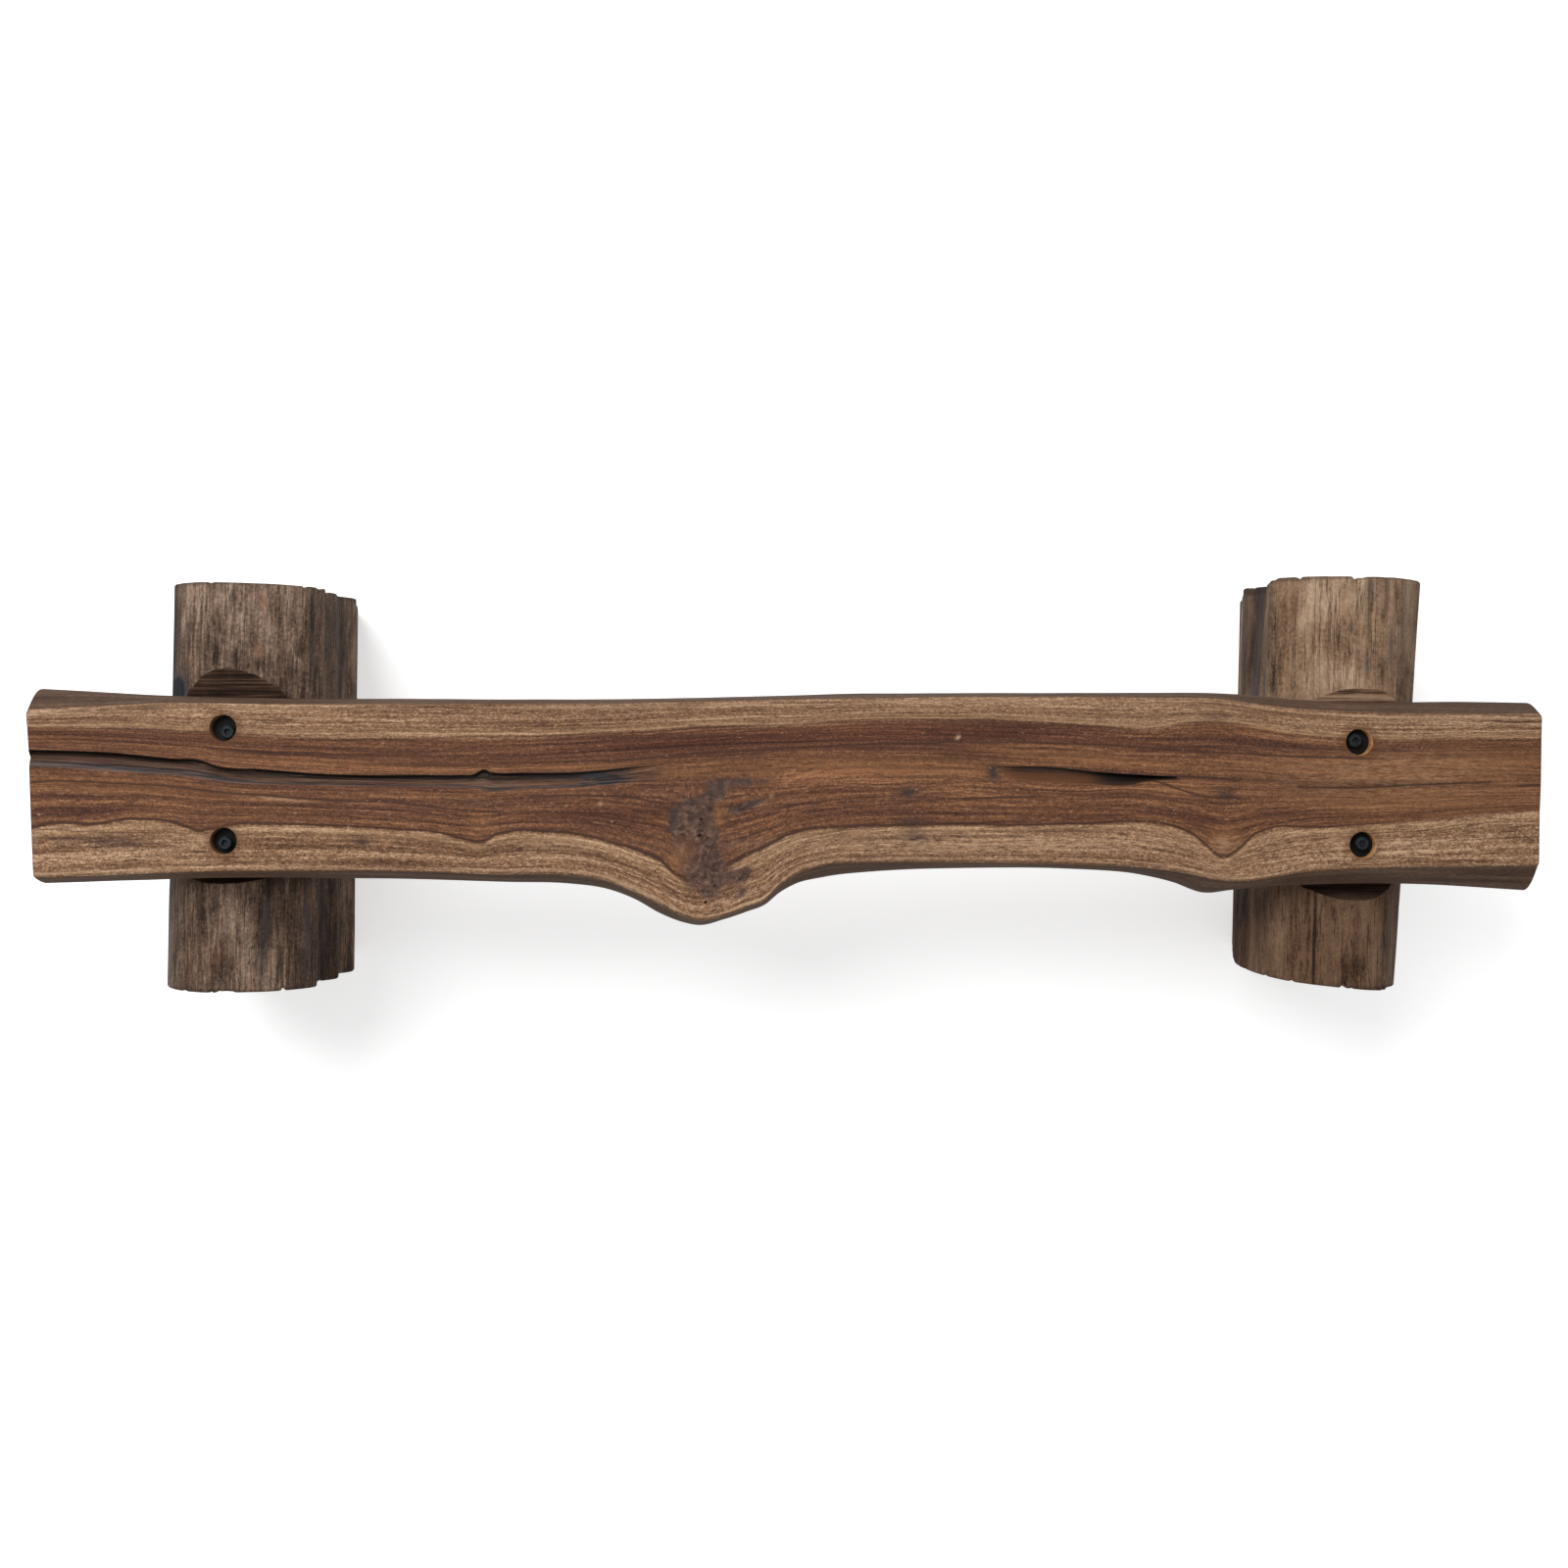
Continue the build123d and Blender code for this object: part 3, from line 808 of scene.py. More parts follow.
def counterbore(place, hole):
    """A cutter for one counterbore and its hole, with a lightly broken rim and a rough wall."""
    turned = lathe(*place, [(SEAT_TOP + 4 * MM, COUNTERBORE_RADIUS + 1.0 * MM),
                            (SEAT_TOP - 0.4 * MM, COUNTERBORE_RADIUS + 0.5 * MM),
                            (SEAT_TOP - 1.2 * MM, COUNTERBORE_RADIUS),
                            (COUNTERBORE_FLOOR + 6 * MM, COUNTERBORE_RADIUS),
                            (COUNTERBORE_FLOOR, COUNTERBORE_RADIUS - 0.1 * MM)], BORE_POINTS)
    bore = lathe(*hole, [(COUNTERBORE_FLOOR, HOLE_RADIUS),
                         (UNDERSIDE - 3 * MM, HOLE_RADIUS)], BORE_POINTS)
    wander = rough(turned[..., 0], turned[..., 1], turned[..., 2], (150, 150, 260), seed=11)
    turned[1:, :, :2] += (turned[1:, :, :2] - np.array(place)) * (wander[1:, :, None] * 0.012)
    return np.concatenate([turned, bore])


def pit(u, v, radius_mm):
    """A crooked cone that stands point down in the top."""
    x, y, radius = float(plan_x(u)), float(plan_y(v)), radius_mm * MM
    cone = lathe(x, y, [(SEAT_TOP + 2 * MM, radius * 1.2), (SEAT_TOP - 1.5 * MM, radius),
                        (SEAT_TOP - 4 * MM, radius * 0.7),
                        (SEAT_TOP - 7 * MM, radius * 0.2)], PIT_POINTS)
    uneven = 1 + 0.35 * rough(cone[..., 0], cone[..., 1], 0, (400, 400, 1), seed=13)
    cone[..., :2] = (x, y) + (cone[..., :2] - (x, y)) * uneven[..., None]
    return cone


plank_wood, top_finish = material("seat_teak")
plank_end, end_finish = material("seat_teak_end_grain")
plank_bore, bore_finish = material("seat_teak_bore")
for slot_material in (plank_wood, plank_end, plank_bore):
    plank.data.materials.append(slot_material)
cutters = [counterbore(*places) for places in SCREW_HOLES.values()] + [pit(*p) for p in PITS]
cut(plank, joined("plank_cutters", cutters))
report(plank)

# %% [markdown]
# ## What the plank's finish reads
#
# Wood is a stack of growth rings, so its colour follows them and not the straight axes. At each
# vertex the mesh stores the grain's own coordinates: X along the fibres, the distance from the
# heart measured through the lines of the plan, and the depth under the top. A streak drawn in
# these coordinates bends round the knot just as the fibres do.

# %% Grain coordinates
# Distance from the heart in metres at each of the six lines of the top.
GRAIN_AT_LINE = (-0.080, -0.047, -0.006, 0.006, 0.047, 0.078)
SAP_RADIUS = 0.047
RING_DEPTH_SHARE = 0.62  # the rings are wider towards the underside
CALM_REACH = np.linspace(-60, 60, 9) * MM  # the fibres smooth out a border's sharp dips
CALM_SHARE = 0.65
FULL_SPLIT = 14 * MM  # the depth that counts as 1 for the finish
LOWER_CORNER = (50 * MM, 68 * MM)  # depths between which the underside turns to edge wood


def calm_lines(x):
    """The lines of the top as the fibres follow them: each is its own mean over a short reach."""
    around = [plank_lines(np.clip(x + reach, -0.74, 0.74)) for reach in CALM_REACH]
    calm = [sum(each) / len(around) for each in zip(*around)]
    true = plank_lines(x)
    front_sap = CALM_SHARE * calm[1] + (1 - CALM_SHARE) * true[1]
    return [true[0], front_sap, *calm[2:5], true[5]]


def grain_across(lines, y):
    """Distance from the heart: rises evenly between each two lines, and by Y outside them."""
    across = GRAIN_AT_LINE[0] + np.minimum(y - lines[0], 0) + np.maximum(y - lines[5], 0)
    for low, high, start, stop in zip(lines, lines[1:], GRAIN_AT_LINE, GRAIN_AT_LINE[1:]):
        across = across + (stop - start) * np.clip((y - low) / (high - low), 0, 1)
    return across


# Stains and bands: place on the plan, half length and half width in mm, slope, strength.
PURPLE_BANDS = [
    (860, 752, 210, 13, -0.03, 1.1), (640, 762, 110, 13, -0.06, 0.7),
    (330, 772, 190, 10, 0.03, 0.6),
    (100, 756, 60, 5, 0.02, 0.5), (620, 832, 70, 9, 0.12, 0.6), (880, 826, 90, 9, 0.0, 0.4),
    (1110, 826, 70, 9, 0.0, 0.5), (1020, 752, 60, 12, 0.0, 0.5), (1160, 762, 90, 9, 0.05, 0.5),
    (1423, 801, 95, 2.4, -0.03, 1.0), (840, 808, 60, 3, -0.05, 0.8), (100, 828, 45, 6, 0.0, 0.4),
    (190, 812, 40, 8, 0.05, 0.4), (1232, 836, 26, 7, 0.1, 0.8), (1256, 808, 9, 6, -0.3, 1.2),
    (470, 852, 14, 8, 0.0, 0.4), (660, 826, 34, 6, 0.05, 0.7), (1390, 832, 120, 2.0, 0.02, 0.6),
    (1500, 760, 70, 3.0, 0.0, 0.6), (1090, 848, 60, 2.0, 0.01, 0.8), (722, 882, 20, 30, 0.0, 0.7),
    (560, 731, 170, 9, 0.0, 0.35),
]
GOLD_BANDS = [
    (870, 784, 130, 9, 0.0, 1.0), (370, 782, 130, 3.5, 0.06, 0.7), (120, 800, 110, 9, 0.06, 0.6),
    (590, 783, 70, 3, -0.03, 0.8), (1090, 774, 80, 6, 0.08, 0.7), (1200, 806, 34, 6, 0.05, 0.7),
    (1400, 786, 120, 14, 0.02, 0.7), (1420, 818, 120, 10, 0.02, 0.6),
    (1290, 745, 40, 4, 0.15, 0.6), (560, 806, 60, 3, -0.04, 0.7), (1520, 782, 60, 20, 0.02, 0.6),
    (690, 880, 7, 14, 0.3, 1.0), (732, 833, 6, 8, 0.0, 0.9), (1247, 858, 16, 14, 0.0, 0.9),
    (700, 868, 8, 12, 0.0, 0.9),
    (700, 790, 40, 4, 0.0, 0.7), (490, 838, 14, 12, 0.0, 0.5), (1150, 778, 60, 4, 0.08, 0.5),
]
GREY_STAINS = [
    (930, 809, 14, 5, 0.0, 1.6), (930, 838, 11, 7, 0.0, 1.3), (935, 856, 12, 7, 0.0, 1.2),
    (112, 859, 40, 5.5, 0.03, 0.9), (370, 859, 12, 4, 0.15, 1.1), (1250, 811, 11, 6, 0.3, 1.0),
    (687, 836, 4.5, 11, 0.0, 1.7), (762, 797, 24, 3.5, 0.0, 1.1), (764, 822, 22, 3.5, -0.33, 1.1),
    (700, 818, 12, 4, 0.1, 0.9), (1014, 788, 6, 7, 0.0, 1.8), (1240, 733, 22, 5, 0.0, 0.6),
    (152, 722, 12, 3, 0.0, 0.8), (220, 793, 14, 4, 0.1, 0.5), (1096, 848, 30, 3, 0.0, 0.3),
    (480, 818, 30, 2.5, 0.06, 0.8), (1010, 757, 60, 2.5, 0.0, 0.6), (735, 900, 8, 10, 0.0, 0.4),
    (730, 806, 14, 8, 0.0, 1.0), (1545, 848, 28, 12, 0.0, 0.2),
]
# The first two rows are a pale line along the back-left arris, partly wear and partly a painted
# highlight.
PALE_MARKS = [
    (45, 726, 22, 2.0, 0.04, 1.5), (90, 723, 26, 1.4, 0.05, 1.0), (1420, 790, 120, 24, 0.0, 0.30),
    (29, 729, 7, 2.5, -0.2, 1.2), (24, 737, 4, 1.2, 0.0, 1.2), (283, 815, 27, 2.0, 0.1, 0.8),
    (1362, 858, 5, 4, 0.0, 0.9), (1440, 862, 60, 5, 0.02, 0.15),
    (215, 737, 2.5, 5, 0.0, 1.4), (1367, 860, 3, 2, 0.0, 1.8), (1369, 866, 2, 2, 0.0, 1.6),
    (222, 870, 3, 2, 0.5, 1.4),
    (588, 769, 1.3, 1.3, 0.0, 1.6), (612, 821, 1.8, 1.3, 0.0, 1.6), (978, 752, 1.6, 2.0, 0.0, 1.6),
    (1423, 803, 1.4, 1.2, 0.0, 1.4), (787, 812, 1.6, 2.0, 0.0, 1.4), (714, 824, 2.0, 1.4, 0.0, 1.2),
    (693, 847, 1.6, 1.0, 0.0, 1.2), (640, 905, 22, 5, 0.35, 0.5), (560, 862, 60, 6, 0.03, 0.4),
    (1000, 862, 200, 8, 0.0, 0.8), (1240, 722, 60, 5, 0.0, 0.3), (215, 858, 25, 7, -0.1, 0.5),
    (1120, 728, 150, 6, 0.0, 0.2), (1245, 884, 14, 5, 0.0, 0.5), (1247, 864, 13, 9, 0.0, 0.4),
    (215, 880, 100, 4, 0.0, 0.25),
]

# Thin dark seams of the plan that don't follow the borders, each from its left to its right end.
SEAMS = [
    [(392, 818), (430, 822), (464, 826), (512, 829)],
    [(1326, 803), (1380, 804), (1440, 801), (1520, 798)],
    [(1040, 757), (1120, 760), (1215, 766), (1300, 771), (1395, 774)],
    [(1180, 797), (1200, 804), (1225, 812), (1258, 814)],
    [(1528, 736), (1545, 737), (1572, 736)],
    [(1552, 802), (1562, 801), (1576, 802)],
    [(30, 799), (49, 797), (83, 797.5), (126, 799.5), (158, 801), (200, 805.5), (240, 810)],
    [(250, 810), (300, 814), (345, 817), (384, 818)],
    [(540, 812), (600, 812), (640, 813.5), (678, 820)],
    [(985, 815), (1010, 814), (1056, 813)],
    [(620, 777), (700, 770), (790, 764), (880, 760), (960, 758)],
    [(1198, 792), (1212, 792.5), (1240, 794), (1262, 797)],
]


def seam_distance(row, x, y):
    """Signed distance in Y to a seam, which moves far away past the seam's two ends."""
    line = np.array(row, float)
    u = x / PLAN_UNIT + PLAN_MIDDLE
    past = np.maximum(np.maximum(line[0, 0] - u, u - line[-1, 0]), 0) * PLAN_UNIT
    distance = y - plan_y(curve_through(row, u))
    return distance + 0.2 * past * np.sign(distance + 1e-9)


x, y, z = positions(plank)
depth = SEAT_TOP - z
lines = plank_lines(x)
across = grain_across(calm_lines(x), y)
outside = np.maximum(lines[0] - y, y - lines[5])
outside = outside + smooth_step(depth, *LOWER_CORNER) * 16 * MM
carry(plank, "grain", x, across, depth)
carry(plank, "ring", np.hypot(grain_across(lines, y), depth * RING_DEPTH_SHARE))
carry(plank, "marks", soft_marks(PURPLE_BANDS, x, y), soft_marks(GOLD_BANDS, x, y),
      soft_marks(GREY_STAINS, x, y))
carry(plank, "split", (y - lines[2]) / (lines[3] - lines[2]), split_depth(x) / FULL_SPLIT,
      outside)
carry(plank, "burr", burr_share(x, y))
carry(plank, "pale", soft_marks(PALE_MARKS, x, y))
for first in range(0, len(SEAMS), 3):
    carry(plank, f"seams_{first}", *[seam_distance(row, x, y) for row in SEAMS[first:first + 3]])
print("across the grain", across.min().round(3), "to", across.max().round(3))

# %% [markdown]
# ## The plank's finish
#
# Teak heartwood is red-brown with darker growth lines, and its sapwood is a straw colour that
# the oil and the weather turn greyish. The finish starts with streaks at four scales, from bands
# two fingers wide to the pores. Ramps turn them into heartwood and sapwood, and the ring
# distance picks between the two. Then come the seams, the stains and the burr, and last the
# grey of the splits and of the live edges, which the sun and rain reached first.

# %% Heartwood and sapwood
HEART_STOPS = ((0.06, 42, 24, 17), (0.32, 80, 50, 35), (0.56, 108, 71, 49), (0.90, 156, 110, 77))
SAP_STOPS = ((0.08, 70, 46, 31), (0.34, 110, 79, 56), (0.58, 140, 106, 79), (0.92, 190, 158, 128))
SEAM_BROWN = (56, 36, 27)
OILED = {"Specular IOR Level": 0.16}  # old oil leaves only a faint sheen
GROWTH_RINGS, END_RINGS = 310.0, 520.0  # rings a metre on the top and on the ends

# Noise in the grain's coordinates: cycles a metre along, across and down, then the settings.
GRAIN_LAYERS = {
    "bands": ((1.8, 40, 40), 3), "streaks": ((3.4, 210, 210), 3, 0.6, 0.3),
    "lines": ((9, 540, 540), 3, 0.7, 0.3), "pores": ((60, 900, 900), 2),
    "mottle": ((190, 440, 440), 3, 0.7), "grit": ((420, 760, 760), 2, 0.7),
}


def wood_layers(finish):
    """The grain with a slow sway and a fine ripple, and the layers of noise along it."""
    carried = finish.attribute("grain")
    along, across, depth = finish.parts(carried)
    sway = finish.noise(carried, (7, 14, 14), 2)
    ripple = finish.noise(carried, (75, 40, 40), 2)
    shift = (sway - 0.5) * 0.007 + (ripple - 0.5) * 0.0014
    across = across + shift
    grain = finish.join(along, across, depth)
    wood = finish.layers(grain, GRAIN_LAYERS)
    wood.grain, wood.along, wood.across, wood.depth = grain, along, across, depth
    wood.ring = finish.attribute("ring", "Fac") + shift
    return wood


def lay_body(finish, wood):
    """Colour of sound wood: heartwood and sapwood, a straw line between them, and veins."""
    wood.growth = finish.noise(finish.join(wood.along * 0.9, wood.ring * GROWTH_RINGS), (1, 1, 1), 2)
    heart = finish.tone(wood, bands=0.6, streaks=0.8, lines=1.1, growth=0.7, mottle=0.6, grit=1.0)
    sap = finish.tone(wood, bands=0.6, streaks=0.8, lines=1.2, growth=0.7, mottle=0.9, grit=1.4)
    border = wood.ring + (wood.mottle - 0.5) * 0.0016
    hazy = border + (wood.streaks - 0.5) * 0.016
    wood.blurred = finish.math("MAXIMUM", finish.step(wood.across, -0.002, 0.002),
                               finish.step(wood.along, 0.52, 0.64))
    is_sap = finish.add("ShaderNodeMix", {
        0: wood.blurred, 2: finish.step(border, SAP_RADIUS - 0.0008, SAP_RADIUS + 0.0010),
        3: finish.step(hazy, SAP_RADIUS - 0.0035, SAP_RADIUS + 0.0035)})
    finish.base = finish.mix(is_sap, finish.ramp(heart, *HEART_STOPS),
                             finish.ramp(sap, *SAP_STOPS))
    straw = (finish.step(wood.ring, SAP_RADIUS + 0.0005, SAP_RADIUS + 0.003)
             * finish.step(wood.ring, SAP_RADIUS + 0.012, SAP_RADIUS + 0.003))
    finish.lay(straw * 0.26, (178, 144, 108))
    veins = finish.noise(wood.grain, (2.2, 105, 105), 2, 0.5)
    finish.lay(finish.line(veins - 0.47, 0.022) * finish.step(wood.bands, 0.40, 0.60) * 0.50,
               (60, 36, 27))


# %% Stains, seams and the burr
def lay_stains(finish, wood, purple, gold, grey):
    """The soft bands and stains of the plan, the seams, the pores and pale flecks."""
    finish.lay(purple * (wood.streaks + 0.35) * 0.80, (168, 142, 146), "MULTIPLY")
    finish.lay(gold * 0.60, finish.mix(wood.mottle, (128, 82, 48), (166, 118, 76)))
    broken = finish.step(finish.noise(wood.grain, (30, 120, 120), 3), 0.26, 0.52)
    finish.lay(grey * broken * 0.85, (60, 46, 40))
    broken = finish.step(finish.noise(wood.grain, (90, 330, 330), 3), 0.36, 0.60)
    # Pale marks of the plan; along the back-left arris they are partly a painted highlight.
    finish.lay(finish.attribute("pale", "Fac") * broken * 0.60, (196, 162, 130))

    border_line = finish.line(wood.ring - (SAP_RADIUS - 0.001), 0.0019)
    finish.lay(border_line * (0.85 - wood.blurred * 0.65), SEAM_BROWN)
    seams = 0.0
    for first in range(0, len(SEAMS), 3):
        for distance in finish.parts(finish.attribute(f"seams_{first}")):
            seam = finish.line(distance + (wood.mottle - 0.5) * 0.0016, 0.0018)
            seams = finish.math("MAXIMUM", seam, seams)
    finish.lay(seams * 0.85, SEAM_BROWN)
    finish.lay(finish.step(wood.pores, 0.56, 0.68) * 0.7, (62, 39, 28))
    flecks = finish.step(finish.noise(wood.grain, (150, 420, 420), 2), 0.66, 0.76)
    finish.lay(flecks * 0.35, (196, 160, 128))


BURR_LAYERS = {"swirl": ((46, 46, 46), 3, 0.6, 1.8), "curls": ((130, 130, 130), 4, 0.7, 0.8)}


def lay_burr(finish, wood, gold, grey):
    """The burr: curled grain without a direction, with dark lines, cool stains and gold."""
    burr = finish.layers(finish.place(), BURR_LAYERS)
    burr.mottle = wood.mottle
    wood.swirl = burr.swirl
    sound, finish.base = finish.base, finish.ramp(
        finish.tone(burr, swirl=0.9, curls=1.8, mottle=0.9),
        (0.08, 34, 24, 21), (0.34, 62, 45, 39), (0.58, 86, 64, 55), (0.92, 122, 94, 77))
    finish.lay(finish.line(burr.swirl - 0.47, 0.016) * 0.65, (42, 29, 25))
    cool = finish.math("MINIMUM", grey * finish.step(burr.curls, 0.36, 0.56), 1.0)
    finish.lay(cool * 0.7, (52, 46, 46))
    finish.lay(gold * 0.6, (132, 88, 54))
    share = finish.attribute("burr", "Fac") + (burr.curls - 0.5) * 0.8
    finish.base = finish.mix(finish.step(share, 0.34, 0.60) * 0.92, sound, finish.base)


# %% The splits
# Floors by how far across the split: 0 at the foot, 1 at the steep lip. Each ramp darkens
# towards the lip as painted shade under it, and the void's ramp is painted nearly black as the
# shade deep in the split.
LEFT_FLOOR = ((0.0, 88, 68, 58), (0.07, 64, 60, 63), (0.28, 58, 53, 56), (0.34, 38, 30, 29),
              (0.42, 88, 63, 50), (0.62, 76, 54, 43), (0.76, 46, 32, 27))
MIDDLE_FLOOR = ((0.0, 90, 62, 47), (0.10, 58, 48, 45), (0.20, 50, 39, 36), (0.28, 84, 59, 43),
                (0.50, 74, 51, 38), (0.60, 50, 38, 33), (0.76, 36, 26, 22))
TORN_FLOOR = ((0.0, 104, 67, 43), (0.14, 88, 54, 34), (0.62, 74, 45, 28), (0.92, 36, 22, 15))
VOID_FLOOR = ((0.0, 74, 46, 30), (0.12, 48, 30, 20), (0.40, 30, 19, 13), (0.66, 15, 10, 8))
# Xs between which each kind of floor takes over from the one to its left.
TO_MIDDLE, TO_FIBROUS = (-0.58, -0.50), (-0.186, -0.150)
TO_TORN, TO_VOID = (0.10, 0.16), (0.294, 0.326)
TAR_STARTS, TAR_STOPS = (-0.206, -0.198), (-0.138, -0.166)


def lay_splits(finish, wood, rise, here):
    """The splits: painted shade under the lip, then torn brown fibres, then a blue-grey band."""
    along = wood.along
    torn = finish.noise(finish.join(along * 14.0, rise * 9.0), (1, 1, 1), 4, 0.65)
    rise = rise + (torn - 0.5) * 0.16
    inside = (finish.step(rise, -0.03, 0.05) * finish.step(rise, 1.06, 1.0)
              * finish.step(here, 0.03, 0.16))
    left, middle, ragged, void = [finish.ramp(rise, *stops) for stops in (
        LEFT_FLOOR, MIDDLE_FLOOR, TORN_FLOOR, VOID_FLOOR)]
    sound, finish.base = finish.base, finish.mix(finish.step(along, *TO_MIDDLE), left, middle)

    fibres = finish.step(torn, 0.46, 0.62)
    # The fibres turn dark towards the lip: painted shade under it.
    finish.lay(fibres * 0.55, finish.mix(finish.step(rise, 0.70, 0.5), (46, 32, 26),
                                         (112, 88, 75)))
    finish.lay(finish.line(torn - 0.44, 0.020) * 0.6, (32, 24, 22))
    finish.lay(finish.step(along, *TO_FIBROUS),
               finish.mix(fibres, (84, 57, 42), (122, 86, 62)))
    tarry = finish.step(along, *TAR_STARTS) * finish.step(along, *TAR_STOPS)
    clotted = finish.step(finish.noise(wood.grain, (80, 300, 300), 3, 0.6), 0.34, 0.50)
    finish.lay(tarry * clotted * 0.85, finish.mix(fibres, (24, 24, 27), (56, 56, 62)))
    to_torn = finish.step(along, *TO_TORN)
    # The void's ramp is painted nearly black, the shade deep in the split.
    finish.lay(to_torn, finish.mix(finish.step(along, *TO_VOID), ragged, void))

    strands = finish.noise(wood.grain, (6, 400, 400), 4, 0.7, 0.5)
    finish.lay(finish.step(strands, 0.52, 0.38) * 0.6, (118, 104, 98), "MULTIPLY")
    finish.lay(finish.step(strands, 0.54, 0.66) * 0.45 * (1.0 - to_torn), (126, 96, 78))
    finish.base = finish.mix(inside, sound, finish.base)


# %% The live edges, and the whole top
def lay_edges(finish, wood, outside):
    """The live edges: smooth grey-brown, with a pale line where they meet the top, which is wear and
    a painted highlight on the arris.
    """
    wood.edge = finish.noise(wood.grain, (6, 170, 170), 4, 0.6)
    colours = finish.ramp(finish.tone(wood, edge=1.3, mottle=0.8), (0.12, 50, 36, 28),
                          (0.38, 76, 56, 44), (0.62, 95, 73, 58), (0.92, 128, 104, 86))
    out = outside + (wood.bands - 0.5) * 0.002
    finish.lay(finish.step(out, 0.0004, 0.0024) * finish.step(wood.depth, 0.0012, 0.005),
               colours)
    # A pale line along the arris: wear, and a painted highlight where the rounded arris catches the
    # light.
    worn = finish.line(outside + 0.0008, 0.0022) * finish.step(wood.streaks, 0.38, 0.60)
    finish.lay(worn * 0.45, (170, 142, 116))


def lay_oil_rings(finish, wood):
    """Oil soaked in round the counterbores."""
    place, ringed = finish.place(), 0.0
    for (x, y), _ in SCREW_HOLES.values():
        offset = finish.vector("SUBTRACT", place, (x, y, SEAT_TOP))
        span = finish.vector("LENGTH", offset, output="Value")
        ring = finish.step(span + (wood.streaks - 0.5) * 0.012, 0.024, 0.0125)
        ringed = finish.math("MAXIMUM", ring, ringed)
    finish.lay(ringed * 0.55, (84, 50, 30))


def finish_plank(finish):
    """The whole finish of the top, the live edges and the underside."""
    wood = wood_layers(finish)
    purple, gold, grey = finish.parts(finish.attribute("marks"))
    rise, here, outside = finish.parts(finish.attribute("split"))
    gold = gold * (wood.streaks + 0.25)
    lay_body(finish, wood)
    lay_stains(finish, wood, purple, gold, grey)
    lay_burr(finish, wood, gold, grey)
    lay_splits(finish, wood, rise, here)
    lay_edges(finish, wood, outside)
    lay_oil_rings(finish, wood)
    height = wood.streaks * 0.6 + wood.pores * 0.3 + wood.mottle * 0.5 + wood.swirl * 0.1
    finish.surface(wood.streaks * 0.24 + 0.58, height, 0.0012, **OILED)


finish_plank(top_finish)


# %% Its sawn ends and the walls of its holes
def ray_checks(finish, x, y, cycles, detail, half_width):
    """Fine lines that run out from the heart, from a point's two distances to it."""
    outward = finish.vector("NORMALIZE", finish.join(x, y))
    return finish.line(finish.noise(outward, (cycles,) * 3, detail) - 0.5, half_width)


def finish_plank_end(finish):
    """End grain: growth rings round the heart, fine rays across them, and small checks."""
    wood = wood_layers(finish)
    wood.rings = finish.noise(finish.join(wood.ring * END_RINGS), (1, 1, 1), 3)
    wood.specks = finish.noise(wood.grain, (1, 900, 900), 2)
    tone = finish.tone(wood, rings=0.9, specks=0.6, mottle=0.4)
    heart = finish.ramp(tone, (0.25, 52, 35, 27), (0.45, 80, 56, 43), (0.60, 100, 73, 57),
                        (0.80, 126, 96, 76))
    sap = finish.ramp(tone, (0.25, 82, 62, 48), (0.45, 108, 84, 66), (0.60, 126, 101, 81),
                      (0.80, 150, 126, 104))
    finish.base = finish.mix(finish.step(wood.ring, SAP_RADIUS - 0.001, SAP_RADIUS + 0.002),
                             heart, sap)
    check = (ray_checks(finish, wood.across, wood.depth * RING_DEPTH_SHARE, 6, 1, 0.008)
             * finish.step(finish.noise(wood.grain, (1, 30, 30), 2), 0.45, 0.6))
    finish.lay(check * 0.85, (26, 18, 15))
    finish.surface(0.72, tone * 0.6 - check * 1.2, 0.0009, **OILED)


def finish_bore(finish):
    """Walls of the holes: amber where the cutter opened the grain, with painted light and shade:
    lighter on the right-hand holes, darker on the left, and nearly black at the floor.
    """
    along, _, above = finish.parts(finish.place())
    cloud = finish.noise(finish.place(), (160, 160, 60), 3, 0.6)
    # Painted light and shade: a pale amber for the right-hand holes, whose walls the lamp reaches, a
    # dark one for the left.
    dark, lit_wall = [finish.ramp(cloud, *stops) for stops in (
        ((0.3, 84, 54, 37), (0.7, 124, 86, 60)), ((0.3, 150, 102, 64), (0.7, 206, 156, 106)))]
    amber = finish.mix(finish.step(along, -0.1, 0.1), dark, lit_wall)
    # Painted shade: the wall turns nearly black towards the floor of the counterbore.
    wall = finish.step(above, COUNTERBORE_FLOOR, COUNTERBORE_FLOOR + 3 * MM)
    finish.base = finish.mix(wall, (12, 8, 7), amber)
    finish.surface(0.7, cloud, 0.0006, **OILED)


finish_plank_end(end_finish)
finish_bore(bore_finish)
print("plank finish:", len(top_finish.tree.nodes), "nodes")

# %% [markdown]
# ## The logs' skins
#
# Each leg is a short length of a fluted trunk that lies across the bench, flat side down. Its
# outline bulges and pinches in lobes from the ridge down to the floor. The outline is drawn once
# at the front end and once at the back, and the sections between run evenly from one to the
# other. Weather has opened furrows along the fibres, so the noise that carves them is stretched
# along the log. It is read by the angle round the log's core, so that the same value can be
# found again from a point's place when the finish asks how deep a furrow is.

# %% Outlines and ends of the logs
RIDGE = 0.380
LOG_WIDTH = 0.190
LOG_AROUND, LOG_ALONG = 640, 118
FOOT_TOP = 0.03  # share of the height under which an outline is foot
FOOT_SHARE = 0.25  # how closely the hidden foot is drawn, against the rest
LOG_EASE = 3 * MM
LOG_END_STEPS = np.array([0.0, 0.25, 0.8, 1.7, 3.0]) * MM
LOG_END_SHARES = (0.985, 0.95, 0.88, 0.78, 0.64, 0.46, 0.24)

